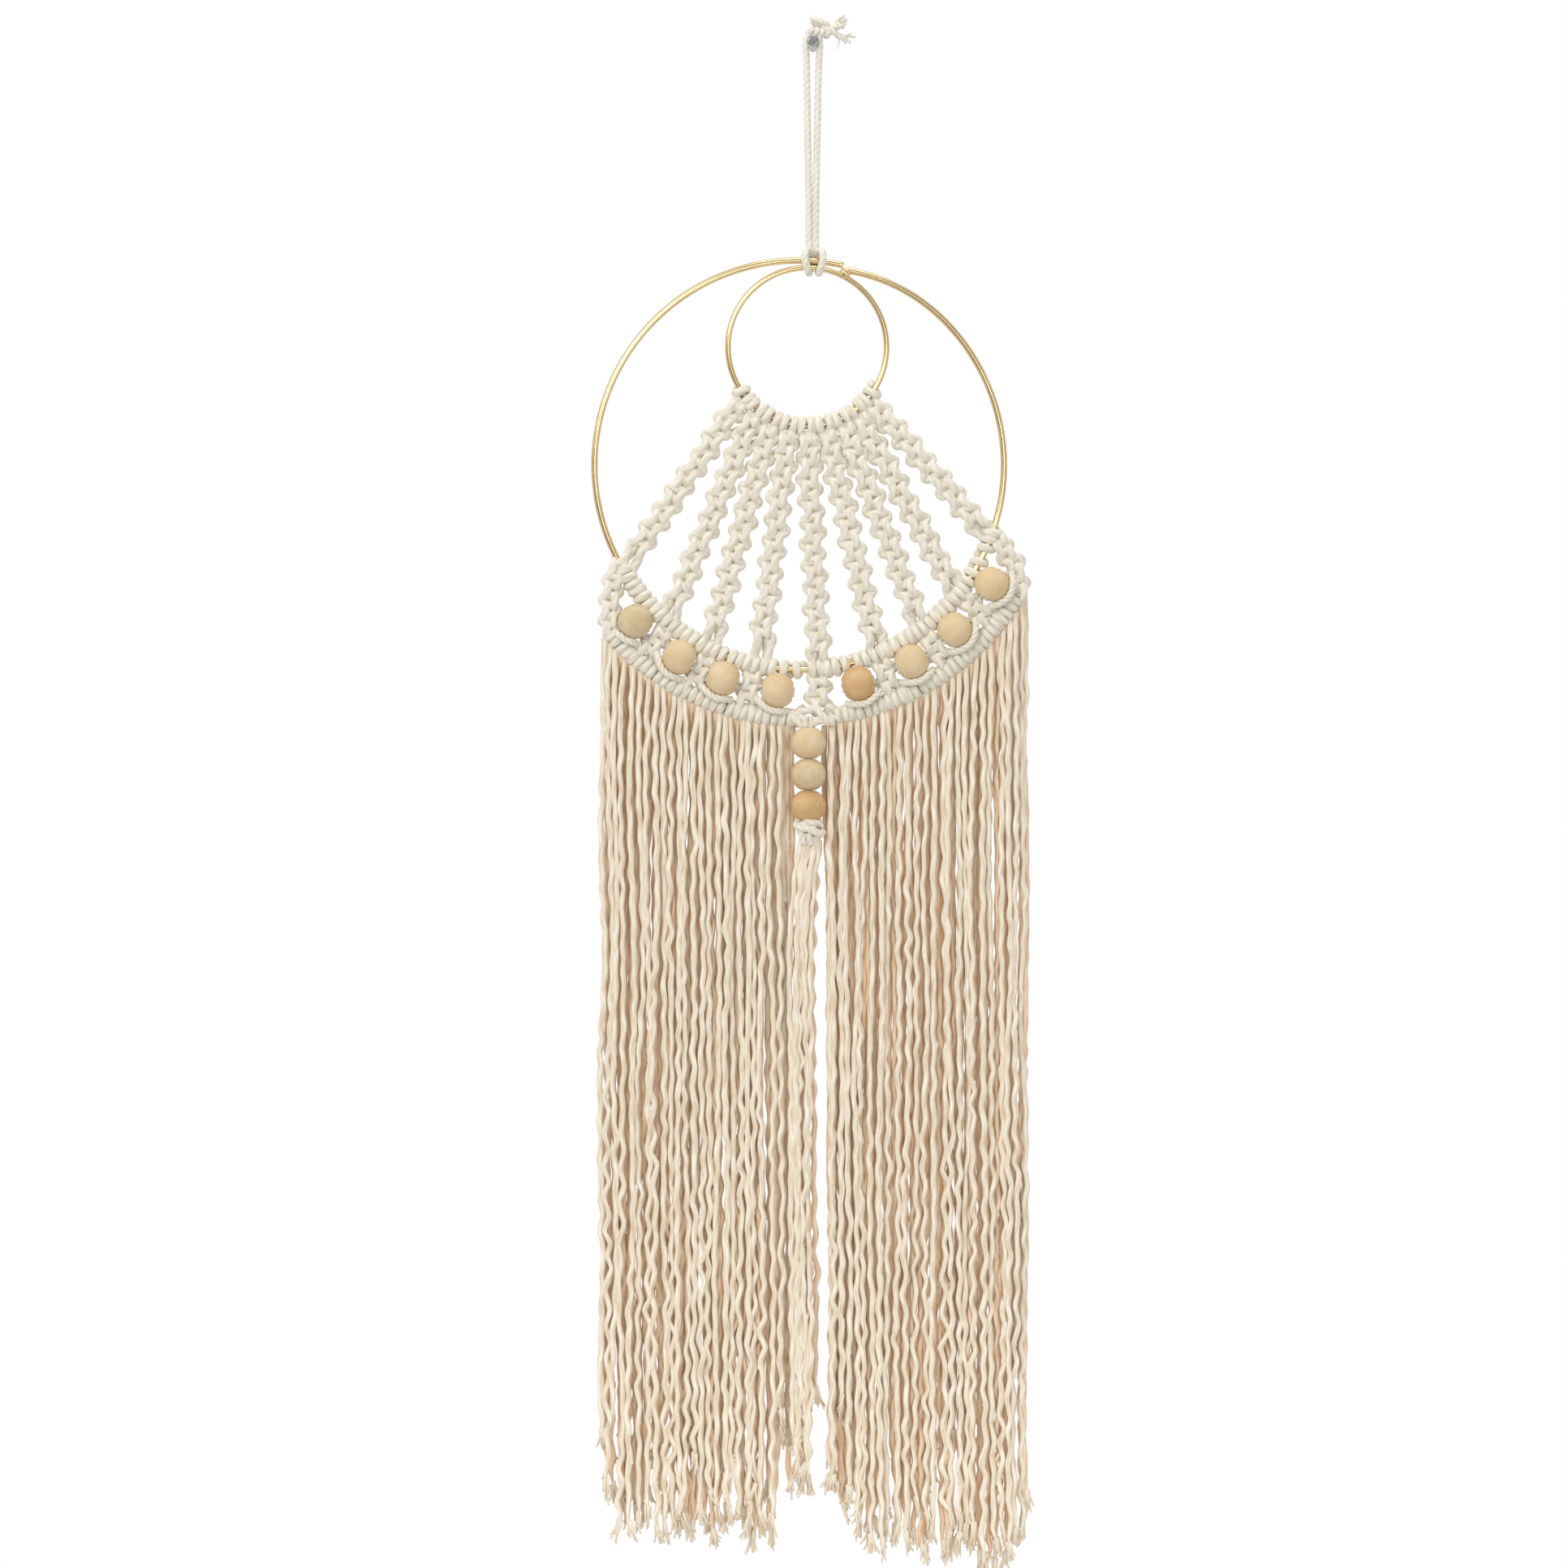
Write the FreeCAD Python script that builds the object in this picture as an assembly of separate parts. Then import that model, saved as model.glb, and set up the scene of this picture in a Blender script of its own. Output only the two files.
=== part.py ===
import FreeCAD, Part
import math
import os

# Macrame wall hanging: two brass rings, nine knotted sinnets fanned between them, a row of
# wooden beads, a beaded drop and a long unravelled fringe, on a cord loop over a wall screw.
#
# Frame: the origin is on the screw's axis at the wall, +X to the right, +Y into the wall and
# +Z up. The hanging is in front of the wall, at negative Y. All sizes are in millimetres.
# Angles round a ring are in degrees from straight down, positive to the right.

V = FreeCAD.Vector

# Wall screw
screw_head_diameter = 5.2
screw_head_height = 2.0
screw_head_edge = 0.6
screw_neck_diameter = 3.0
screw_neck_length = 5.2
screw_thread_diameter = 3.5
screw_thread_length = 25.0
screw_point_length = 3.0
recess_width = 0.8
recess_span = 3.0
recess_depth = 1.0

# Cord
cord_diameter = 3.5
hanger_drop = 105.8          # screw axis to the large ring's wire
hanger_depth_at_screw = -3.0
hanger_side_gap = 0.65       # between the screw's neck and a leg of the loop
hanger_top_gap = 0.35        # between the neck and the top of the loop
hanger_foot_middle = -0.4    # between the legs, where they enter the lark's head
hanger_foot_gap = 0.3        # between the legs there
hanger_knot_radius = 2.9
hanger_knot_start = 0.5      # right of the screw's axis
hanger_knot_run = 8.9
hanger_knot_fall = 2.6
hanger_tail_radius = 1.5
hanger_tail_tips = ((6.6, 6.6), (7.0, -1.2))
larks_head_width = 11.4
larks_head_depth = 9.0
larks_head_reach = 3.6       # below the small ring's wire
larks_head_rise = 4.4        # above the large ring's wire

# Rings
ring_plane = -7.0            # depth of the rings' plane
large_ring_diameter = 200.0
large_wire = 3.2
small_ring_diameter = 79.0
small_wire = 2.8
ring_lean = 3.9              # the rings touch this far right of the large ring's top
ring_gap = 0.4               # between the two wires where they touch
wire_end_angle = 12.5        # the large wire's outer end, right of the top
inner_end_angle = 27.0       # its inner end, seen from the small ring
inner_bend_angle = 45.0      # where the inner end starts to bend inwards
inner_end_gap = 0.3
braze_radius = 2.5

# Knotwork
hitch_radius = 4.1           # outside of the cord wrapped round a ring's wire
wrap_clearance = 0.05        # between a wire and the cord round it
seat_gap = 0.4               # between soft pieces that bear on each other
sinnet_width = 8.0
sinnet_depth = 6.5
sinnet_corner = 2.0
head_knot_angles = (-55.8, -46.0, -33.0, -20.0, -7.0, 6.0, 19.0, 31.5, 44.0, 54.3)
head_knot_half_angles = (3.4, 4.7, 5.6, 5.6, 5.6, 5.6, 5.6, 5.4, 4.9, 3.4)
sinnet_tops = (-51.5, -38.6, -25.6, -12.7, 0.2, 13.1, 25.6, 37.4, 49.0)
sinnet_feet = (-59.5, -40.3, -26.4, -11.5, 5.7, 22.7, 37.0, 50.8, 69.8)
hitches_left = ((-62.7, -6.6),)
hitches_centre = ((-5.5, -3.3), (-2.1, 0.1), (2.3, 13.9))
hitches_right = ((15.4, 59.2), (60.4, 62.6), (64.4, 72.2))

# Bead row
row_band_radius = 4.0
row_left_span = (-48.4, 0.6)
row_right_span = (7.9, 58.8)
bead_diameter = 17.0
bead_length = 14.8
bead_cord_diameter = 5.0     # two cords side by side, pressed together
bead_cord_gap = 0.5          # round the cords in a bead's bore
bead_ring_gap = 0.4          # between the large wire and a row bead, seen from the front
bead_row_gap = 0.1           # between a row bead and the lower row, seen from the front
bead_forward = 3.5           # bead centres in front of the rings' plane
bead_angles = (-46.3, -32.0, -19.7, -5.5, 15.1, 29.7, 43.3, 58.2)
bead_spin_gap = 0.3
centre_gap = 3               # the wide gap between beads, counted from 0 at the left
short_sinnet_width = 8.0     # where the beads leave it that much room
short_sinnet_clearance = 0.5 # between a short sinnet and the beads beside it
edge_sinnet_width = 5.4
short_sinnet_depth = 6.0
centre_sinnet_width = 8.6
edge_sinnet_clearance = 0.7  # between an edge sinnet and the bead beside it
edge_sinnet_leans = (-0.4, -3.2)  # sideways, foot to top, at the left and right edge
end_bead_cord_reach = 9.6    # half length of the cord at the row's two ends

# Drop
drop_x = -2.3
drop_pivot_fall = 1.6        # lower row's centreline to the drop's pivot
drop_neck = 3.1              # pivot to the first bead's end
drop_knot_radius = 7.0
drop_knot_height = 8.8
row_join_radius = 3.4
row_join_height = 5.7        # above the drop's pivot

# Fringe: every lock is four cord ends, two in front and two behind
strand_front_offset = -2.3   # from the rings' plane
strand_back_offset = 2.1
left_first_x = -98.5
left_pitch = 5.6
right_side_gap = 0.75        # between the drop's beads and the right side's first strand
right_pitch = 6.1
locks_each_side = 4
strands_per_lock = 4
strand_levels = (0.0, 0.11, 0.23, 0.36, 0.48, 0.61, 0.74, 0.87, 1.0)
strand_sways = (
    (0.0, 0.5, 0.1, 0.7, 0.1, -0.3, 0.2, -0.4, 0.1),
    (0.0, -0.4, 0.2, -0.2, 0.5, 0.1, 0.6, 0.0, 0.4),
    (0.0, 0.3, -0.3, 0.2, -0.4, -0.1, -0.6, -0.2, -0.7),
    (0.0, -0.5, -0.7, -0.2, -0.6, 0.1, -0.4, 0.3, -0.1),
    (0.0, 0.6, 0.2, 0.8, 0.4, 0.7, 0.1, 0.5, -0.1),
)
left_strand_ends = (-692, -701, -712, -706, -714, -700, -708, -713,
                    -704, -716, -705, -676, -712, -718, -709, -668)
right_strand_ends = (-690, -704, -709, -716, -720, -715, -718, -724,
                     -714, -722, -718, -720, -727, -731, -722, -716)
tail_routes = (
    ((-4.4, -12.4, 0.0), (-4.9, -12.9, -36.0), (-4.2, -13.2, -80.0), (-5.3, -13.0, -130.0),
     (-4.6, -13.3, -182.0), (-5.6, -13.0, -236.0), (-4.9, -13.2, -288.0)),
    ((-0.2, -12.4, 0.0), (0.3, -12.8, -40.0), (-0.3, -13.1, -86.0), (0.6, -13.0, -138.0),
     (0.0, -13.2, -192.0), (0.8, -12.9, -246.0), (0.2, -13.1, -300.0)),
    ((-4.4, -8.6, 0.0), (-5.0, -8.1, -42.0), (-5.5, -8.3, -90.0), (-4.7, -8.0, -144.0),
     (-5.6, -8.2, -200.0), (-4.9, -8.0, -254.0), (-5.7, -8.2, -306.0)),
    ((-0.2, -8.6, 0.0), (0.6, -8.2, -38.0), (0.1, -8.0, -84.0), (0.9, -8.2, -132.0),
     (0.3, -8.0, -178.0), (1.0, -8.2, -222.0), (0.5, -8.1, -264.0)),
)
bend_share = 0.45            # of the shorter run, given up to each bend

# Worked out from the sizes above
large_radius = (large_ring_diameter - large_wire) / 2
small_radius = (small_ring_diameter - small_wire) / 2
wire_spacing = (large_wire + small_wire) / 2 + ring_gap
touch_direction = V(math.sin(math.radians(ring_lean)), 0, math.cos(math.radians(ring_lean)))
touch_point = V(0, ring_plane, -hanger_drop)
large_centre = touch_point - touch_direction * large_radius
small_centre = large_centre + touch_direction * (large_radius - wire_spacing - small_radius)
larks_head_top = -hanger_drop + larks_head_rise
hanger_pivot_z = larks_head_top + cord_diameter / 2 + seat_gap
bead_radius = bead_diameter / 2
bead_row_radius = large_radius + large_wire / 2 + bead_ring_gap + bead_radius
row_radius = bead_row_radius + bead_radius + bead_row_gap + row_band_radius
bead_depth = ring_plane - bead_forward
bead_bore = bead_cord_diameter + 2 * bead_cord_gap
drop_pivot_z = large_centre.z - row_radius - drop_pivot_fall
hanger_bend_offset = screw_neck_diameter / 2 + hanger_side_gap + cord_diameter / 2
hanger_bend_height = screw_neck_diameter / 2 + hanger_top_gap + cord_diameter / 2
hanger_foot_spread = (cord_diameter + hanger_foot_gap) / 2
right_first_x = drop_x + bead_radius + right_side_gap + cord_diameter / 2


def polar(centre, radius, angle, depth=ring_plane):
    """A point at an angle from straight down, positive to the right."""
    turn = math.radians(angle)
    return V(centre.x + radius * math.sin(turn), depth, centre.z - radius * math.cos(turn))


def ring_arc(centre, radius, tube, span, bore=0.0, depth=ring_plane):
    """A round bar bent round a centre, solid or with a bore along it."""
    start = polar(centre, radius, span[0], depth)
    turn = math.radians(span[0])
    along = V(math.cos(turn), 0, math.sin(turn))
    outline = [Part.Wire([Part.makeCircle(tube, start, along)])]
    if bore:
        outline.append(Part.Wire([Part.makeCircle(bore, start, along)]))
    section = Part.makeFace(outline, "Part::FaceMakerBullseye")
    return section.revolve(V(centre.x, depth, centre.z), V(0, -1, 0), span[1] - span[0])


def bar(start, end, width, depth, corner):
    """A straight bar with rounded long edges, flat to the wall."""
    run = end - start
    solid = Part.makeBox(width, depth, run.Length, V(-width / 2, -depth / 2, 0))
    long_edges = [edge for edge in solid.Edges if edge.BoundBox.ZLength > run.Length / 2]
    solid = solid.makeFillet(corner, long_edges)
    solid.rotate(V(0, 0, 0), V(0, 1, 0), math.degrees(math.atan2(run.x, run.z)))
    solid.translate(start)
    return solid


def bent_path(points):
    """Straight runs joined by tangent arcs, and the arcs' radii."""
    edges = []
    radii = []
    last = points[0]
    for before, corner, after in zip(points, points[1:], points[2:]):
        into = (corner - before).normalize()
        out = (after - corner).normalize()
        half_turn = into.getAngle(out) / 2
        trim = bend_share * min((corner - before).Length, (after - corner).Length)
        radius = trim / math.tan(half_turn)
        towards = (out - into).normalize()
        centre = corner + towards * (radius / math.cos(half_turn))
        first = corner - into * trim
        second = corner + out * trim
        edges.append(Part.LineSegment(last, first).toShape())
        edges.append(Part.Arc(first, centre - towards * radius, second).toShape())
        radii.append(radius)
        last = second
    edges.append(Part.LineSegment(last, points[-1]).toShape())
    return Part.Wire(edges), radii


def cord(name, points, diameter, domed_ends):
    """A round cord along a route, with a half ball on the ends that pivot."""
    path, radii = bent_path(points)
    start = points[0]
    along = (points[1] - points[0]).normalize()
    section = Part.Wire([Part.makeCircle(diameter / 2, start, along)])
    solid = path.makePipeShell([section], True, False)
    plain = math.pi * diameter ** 2 / 4 * path.Length
    print(f"{name}: length {path.Length:.1f} mm, volume {solid.Volume / plain:.4f} of section x length,"
          f" radii {min(radii):.1f} to {max(radii):.1f} mm")
    ends = ((points[0], points[0] - points[1]), (points[-1], points[-1] - points[-2]))
    for place, outwards in ends[:domed_ends]:
        dome = Part.makeSphere(diameter / 2, place, outwards, 0, 90, 360)
        solid = solid.fuse(dome).removeSplitter()
    return solid


def rod(start, end, diameter):
    """A short straight cord with flat ends."""
    return Part.makeCylinder(diameter / 2, (end - start).Length, start, end - start)


def capsule(start, end, radius):
    """A straight round bar with a ball at each end."""
    solid = rod(start, end, 2 * radius)
    solid = solid.fuse(Part.makeSphere(radius, start, start - end, 0, 90, 360))
    solid = solid.fuse(Part.makeSphere(radius, end, end - start, 0, 90, 360))
    return solid.removeSplitter()


def bead(centre, along):
    """A wooden ball with a flat and a bore at each end of its hole."""
    latitude = math.degrees(math.asin(bead_length / bead_diameter))
    solid = Part.makeSphere(bead_radius, centre, along, -latitude, latitude, 360)
    hole_start = centre - along * bead_length
    return solid.cut(rod(hole_start, centre + along * bead_length, bead_bore))


def wall_screw():
    """Pan head with a cross recess, plain neck, and the thread as its outer cylinder."""
    head_back = -screw_neck_length
    head = Part.makeCylinder(screw_head_diameter / 2, screw_head_height,
                             V(0, head_back, 0), V(0, -1, 0))
    head = head.makeFillet(screw_head_edge, [min(head.Edges, key=lambda edge: edge.BoundBox.YMax)])
    head_front = head_back - screw_head_height
    for width, height in ((recess_width, recess_span), (recess_span, recess_width)):
        corner = V(-width / 2, head_front, -height / 2)
        head = head.cut(Part.makeBox(width, recess_depth, height, corner))
    neck = Part.makeCylinder(screw_neck_diameter / 2, screw_neck_length,
                             V(0, head_back, 0), V(0, 1, 0))
    thread = Part.makeCylinder(screw_thread_diameter / 2, screw_thread_length,
                               V(0, 0, 0), V(0, 1, 0))
    point = Part.makeCone(screw_thread_diameter / 2, 0, screw_point_length,
                          V(0, screw_thread_length, 0), V(0, 1, 0))
    return head.fuse([neck, thread, point]).removeSplitter()


def hanger_loop():
    """One taut cord up from the lark's head, over the screw's neck and down again."""
    top = hanger_depth_at_screw
    points = [
        V(hanger_foot_middle - hanger_foot_spread, ring_plane, hanger_pivot_z),
        V(-hanger_bend_offset, top, hanger_bend_height),
        V(hanger_bend_offset, top, hanger_bend_height),
        V(hanger_foot_middle + hanger_foot_spread, ring_plane, hanger_pivot_z),
    ]
    return cord("hanger_loop", points, cord_diameter, 2)


def hanger_knot():
    """Overhand knot over the loop's top, with its two cut tails."""
    depth = hanger_depth_at_screw
    clear = hanger_bend_height + cord_diameter / 2 + seat_gap + hanger_knot_radius
    left = V(hanger_knot_start, depth, clear)
    right = left + V(hanger_knot_run, 0, -hanger_knot_fall)
    knot = capsule(left, right, hanger_knot_radius)
    for run, rise in hanger_tail_tips:
        knot = knot.fuse(capsule(right, right + V(run, 0, rise), hanger_tail_radius))
    return knot.removeSplitter()


def large_ring():
    """Wire bent to a ring; its inner end runs in beside the small ring."""
    inner_reach = small_radius + wire_spacing - ring_gap + inner_end_gap
    inner_end = polar(small_centre, inner_reach, 180 - inner_end_angle)
    bend = math.radians(inner_bend_angle)
    bend_direction = V(math.sin(bend), 0, math.cos(bend))
    offset = inner_end - large_centre
    shift = (large_radius ** 2 - offset.Length ** 2) / (2 * (large_radius - offset.dot(bend_direction)))
    bend_centre = large_centre + bend_direction * shift
    end_angle = math.degrees(math.atan2(inner_end.x - bend_centre.x, inner_end.z - bend_centre.z))
    main = ring_arc(large_centre, large_radius, large_wire / 2,
                    (-180 - wire_end_angle, 180 - inner_bend_angle))
    inner = ring_arc(bend_centre, large_radius - shift, large_wire / 2,
                     (180 - inner_bend_angle, 180 - end_angle))
    return main.fuse(inner).removeSplitter(), inner_end


def small_ring():
    """A closed wire ring."""
    return ring_arc(small_centre, small_radius, small_wire / 2, (-180, 180))


def ring_braze(inner_end, rings):
    """Blob of braze between the large wire's inner end and the small ring."""
    middle = small_centre + (inner_end - small_centre).normalize() * (small_radius + small_wire / 2)
    blob = Part.makeSphere(braze_radius, middle)
    for ring in rings:
        blob = blob.cut(ring)
    return blob


def larks_head():
    """The cord doubled over both wires, as one block with the wires through it."""
    foot = small_centre.z + small_radius - larks_head_reach
    block = bar(V(0, ring_plane, foot), V(0, ring_plane, larks_head_top),
                larks_head_width, larks_head_depth, sinnet_corner)
    wires = ((large_centre, large_radius, large_wire), (small_centre, small_radius, small_wire))
    for centre, radius, wire in wires:
        block = block.cut(ring_arc(centre, radius, wire / 2 + wrap_clearance, (-195, -150)))
    return block


def wrapped_arcs(centre, radius, wire, spans):
    """Cord wrapped round a wire, one sleeve for each stretch of touching wraps."""
    return [ring_arc(centre, radius, hitch_radius, span, wire / 2 + wrap_clearance) for span in spans]


def head_knots():
    """The lark's heads that hang the sinnets on the small ring."""
    spans = [(angle - half, angle + half) for angle, half in zip(head_knot_angles, head_knot_half_angles)]
    return wrapped_arcs(small_centre, small_radius, small_wire, spans)


def ring_hitches(spans):
    """Hitches on the large ring, pressed in where a bead bears on them."""
    sleeves = wrapped_arcs(large_centre, large_radius, large_wire, spans)
    pockets = [Part.makeSphere(bead_radius + bead_spin_gap, place) for place in bead_places()]
    return [sleeve.cut(pockets) for sleeve in sleeves]


def bead_places():
    return [polar(large_centre, bead_row_radius, angle, bead_depth) for angle in bead_angles]


def sinnet(top_angle, foot_angle):
    """A flat knotted bar from the small ring's knots to the large ring's hitches."""
    start = polar(small_centre, small_radius + hitch_radius, top_angle)
    end = polar(large_centre, large_radius - hitch_radius, foot_angle)
    run = (end - start).normalize()
    half = sinnet_width / 2
    lean_top = abs(math.sin(run.getAngle(start - small_centre)))
    lean_foot = abs(math.sin(run.getAngle(end - large_centre)))
    bulge = half ** 2 / (2 * (large_radius - hitch_radius))
    start = start + run * (seat_gap + half * lean_top)
    end = end - run * (seat_gap + half * lean_foot + bulge)
    return bar(start, end, sinnet_width, sinnet_depth, sinnet_corner)


def gap_angle(gap):
    """The middle of a gap between two row beads."""
    return (bead_angles[gap] + bead_angles[gap + 1]) / 2


def gap_width(gap):
    """The width of the short sinnet in a gap: squeezed where the beads are close."""
    places = bead_places()
    room = (places[gap + 1] - places[gap]).Length - bead_diameter - 2 * short_sinnet_clearance
    return min(centre_sinnet_width if gap == centre_gap else short_sinnet_width, room)


def short_sinnet(gap):
    """A knotted bar between the large ring's hitches and the lower row."""
    angle = gap_angle(gap)
    width = gap_width(gap)
    inner = large_radius + hitch_radius + seat_gap
    bulge = (width / 2) ** 2 / (2 * row_radius)
    outer = row_radius - row_band_radius - seat_gap - bulge
    return bar(polar(large_centre, inner, angle), polar(large_centre, outer, angle),
               width, short_sinnet_depth, min(sinnet_corner, width / 3))


def centre_sinnet(gap):
    """The wide short sinnet in the middle, down to the crossing above the drop."""
    angle = gap_angle(gap)
    top = polar(large_centre, large_radius + hitch_radius + seat_gap, angle)
    foot_z = drop_pivot_z + row_join_height + row_join_radius + seat_gap
    foot = polar(large_centre, large_centre.z - foot_z, angle)
    return bar(top, foot, gap_width(gap), short_sinnet_depth, sinnet_corner)


def edge_sinnet(bead_place, side, row_end_angle, lean):
    """An outermost short sinnet, which runs down beside an end bead: side is -1 or 1."""
    half = edge_sinnet_width / 2
    foot_x = bead_place.x + side * (bead_radius + edge_sinnet_clearance + half)
    foot_z = polar(large_centre, row_radius - row_band_radius, row_end_angle).z + seat_gap
    top_x = foot_x + lean
    reach = large_radius + hitch_radius + seat_gap
    corner_x = top_x - side * half - large_centre.x
    top_z = large_centre.z - math.sqrt(reach ** 2 - corner_x ** 2)
    return bar(V(top_x, ring_plane, top_z), V(foot_x, ring_plane, foot_z),
               edge_sinnet_width, short_sinnet_depth, sinnet_corner)


def lower_row(span):
    """Hitches tied round a holding cord."""
    return ring_arc(large_centre, row_radius, row_band_radius, span, cord_diameter / 2 + wrap_clearance)


def holding_cord(span):
    return ring_arc(large_centre, row_radius, cord_diameter / 2, span)


def row_join():
    """Where the two rows' cords cross above the drop."""
    height = drop_pivot_z + row_join_height
    left = polar(large_centre, row_radius, row_left_span[1]).x + row_join_radius
    right = polar(large_centre, row_radius, row_right_span[0]).x - row_join_radius - 2 * seat_gap
    return capsule(V(left, ring_plane, height), V(right, ring_plane, height), row_join_radius)


def bead_cords(indices):
    """The pairs of cord through the row's beads, from sinnet to sinnet."""
    cords = []
    for index in indices:
        place = bead_places()[index]
        turn = math.radians(bead_angles[index])
        along = V(math.cos(turn), 0, math.sin(turn))
        reaches = []
        for gap in (index - 1, index):
            if 0 <= gap < len(bead_angles) - 1:
                swing = math.radians(abs(gap_angle(gap) - bead_angles[index]))
                half = gap_width(gap) / 2
                reaches.append(bead_row_radius * math.tan(swing) - half / math.cos(swing) - seat_gap)
            else:
                reaches.append(end_bead_cord_reach)
        cords.append(rod(place - along * reaches[0], place + along * reaches[1], bead_cord_diameter))
    return cords


def drop_bead_places():
    first = drop_pivot_z - drop_neck - bead_length / 2
    pitch = bead_length + bead_spin_gap
    return [V(drop_x, bead_depth, first - pitch * index) for index in range(3)]


def drop_knot_top():
    return drop_bead_places()[-1].z - bead_length / 2 - bead_spin_gap


def drop_cord():
    """The drop's four cords, pressed together, from the row to the knot."""
    pivot = V(drop_x, bead_depth, drop_pivot_z)
    solid = rod(V(drop_x, bead_depth, drop_knot_top()), pivot, bead_cord_diameter)
    dome = Part.makeSphere(bead_cord_diameter / 2, pivot, V(0, 0, 1), 0, 90, 360)
    return solid.fuse(dome).removeSplitter()


def drop_knot():
    """The overhand knot that stops the drop's beads."""
    centre = V(drop_x, bead_depth, drop_knot_top() - drop_knot_height / 2)
    latitude = math.degrees(math.asin(drop_knot_height / 2 / drop_knot_radius))
    return Part.makeSphere(drop_knot_radius, centre, V(0, 0, 1), -latitude, latitude, 360)


def drop_tail():
    """The drop's four cord ends below its knot."""
    top = drop_knot_top() - drop_knot_height - wrap_clearance
    tails = []
    for number, route in enumerate(tail_routes, 1):
        points = [V(x, y, top + z) for x, y, z in route]
        tails.append(cord(f"drop_tail {number}", points, cord_diameter, 0))
    return tails


def strand_top(x):
    """Height of a strand's pivot, just below the lower row."""
    reach = row_radius + row_band_radius + seat_gap + cord_diameter / 2
    return large_centre.z - math.sqrt(reach ** 2 - (x - large_centre.x) ** 2)


def fringe_lock(number):
    """One lock of the fringe: neighbouring cord ends, alternately in front and behind."""
    strands = []
    for place in range(strands_per_lock):
        index = (number - 1) * strands_per_lock + place
        side = index // (locks_each_side * strands_per_lock)
        count = index % (locks_each_side * strands_per_lock)
        x = (left_first_x, right_first_x)[side] + (left_pitch, right_pitch)[side] * count
        end = (left_strand_ends, right_strand_ends)[side][count]
        depth = ring_plane + (strand_front_offset, strand_back_offset)[index % 2]
        top = strand_top(x)
        sway = strand_sways[index % len(strand_sways)]
        points = [V(x + shift, depth, top + (end - top) * level)
                  for shift, level in zip(sway, strand_levels)]
        strands.append(cord(f"fringe_lock_{number} {place + 1}", points, cord_diameter, 1))
    return strands


def write(node, solids):
    """One STEP file for a node; several solids go in as one compound."""
    solids = solids if isinstance(solids, list) else [solids]
    shape = solids[0] if len(solids) == 1 else Part.makeCompound(solids)
    shape.exportStep(f"parts/{node}.step")
    valid = all(solid.isValid() for solid in shape.Solids)
    print(f"{node}: {len(shape.Solids)} solids, {shape.Volume:.1f} mm3, valid {valid}")


os.makedirs("parts", exist_ok=True)

write("wall_screw", wall_screw())
write("hanger_loop", hanger_loop())
write("hanger_knot", hanger_knot())

outer_wire, wire_inner_end = large_ring()
inner_wire = small_ring()
write("large_ring", outer_wire)
write("small_ring", inner_wire)
write("ring_braze", ring_braze(wire_inner_end, (outer_wire, inner_wire)))
write("larks_head", larks_head())

write("head_knots", head_knots())
for number, angles in enumerate(zip(sinnet_tops, sinnet_feet), 1):
    write(f"sinnet_{number}", sinnet(*angles))
write("ring_hitches_left", ring_hitches(hitches_left))
write("ring_hitches_centre", ring_hitches(hitches_centre))
write("ring_hitches_right", ring_hitches(hitches_right))

write("short_sinnet_1", edge_sinnet(bead_places()[0], -1, row_left_span[0], edge_sinnet_leans[0]))
for gap in range(len(bead_angles) - 1):
    make = centre_sinnet if gap == centre_gap else short_sinnet
    write(f"short_sinnet_{gap + 2}", make(gap))
write("short_sinnet_9", edge_sinnet(bead_places()[-1], 1, row_right_span[1], edge_sinnet_leans[1]))
for side, span in (("left", row_left_span), ("right", row_right_span)):
    write(f"lower_row_{side}", lower_row(span))
    write(f"holding_cord_{side}", holding_cord(span))
write("row_join", row_join())

for number, (place, angle) in enumerate(zip(bead_places(), bead_angles), 1):
    turn = math.radians(angle)
    write(f"bead_{number}", bead(place, V(math.cos(turn), 0, math.sin(turn))))
write("bead_cords_left", bead_cords(range(4)))
write("bead_cords_right", bead_cords(range(4, 8)))

for number, place in enumerate(drop_bead_places(), 1):
    write(f"drop_bead_{number}", bead(place, V(0, 0, 1)))
write("drop_cord", drop_cord())
write("drop_knot", drop_knot())
write("drop_tail", drop_tail())

for number in range(1, 2 * locks_each_side + 1):
    write(f"fringe_lock_{number}", fringe_lock(number))
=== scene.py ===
# %% [markdown]
# A macrame wall hanging, built as it is knotted: wire first, then cord over wire.
#
# The frame module holds the hanging's hard sizes and the bodies that move. Every piece below
# is made in that same frame, in metres: +X right, +Y into the wall, +Z up, and the screw's
# axis at the origin. The knots, the strands and the turned beads are made here.

# %% Load the frame
import math
import bmesh
import bpy
import numpy as np
from mathutils import Matrix, Vector, noise


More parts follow.
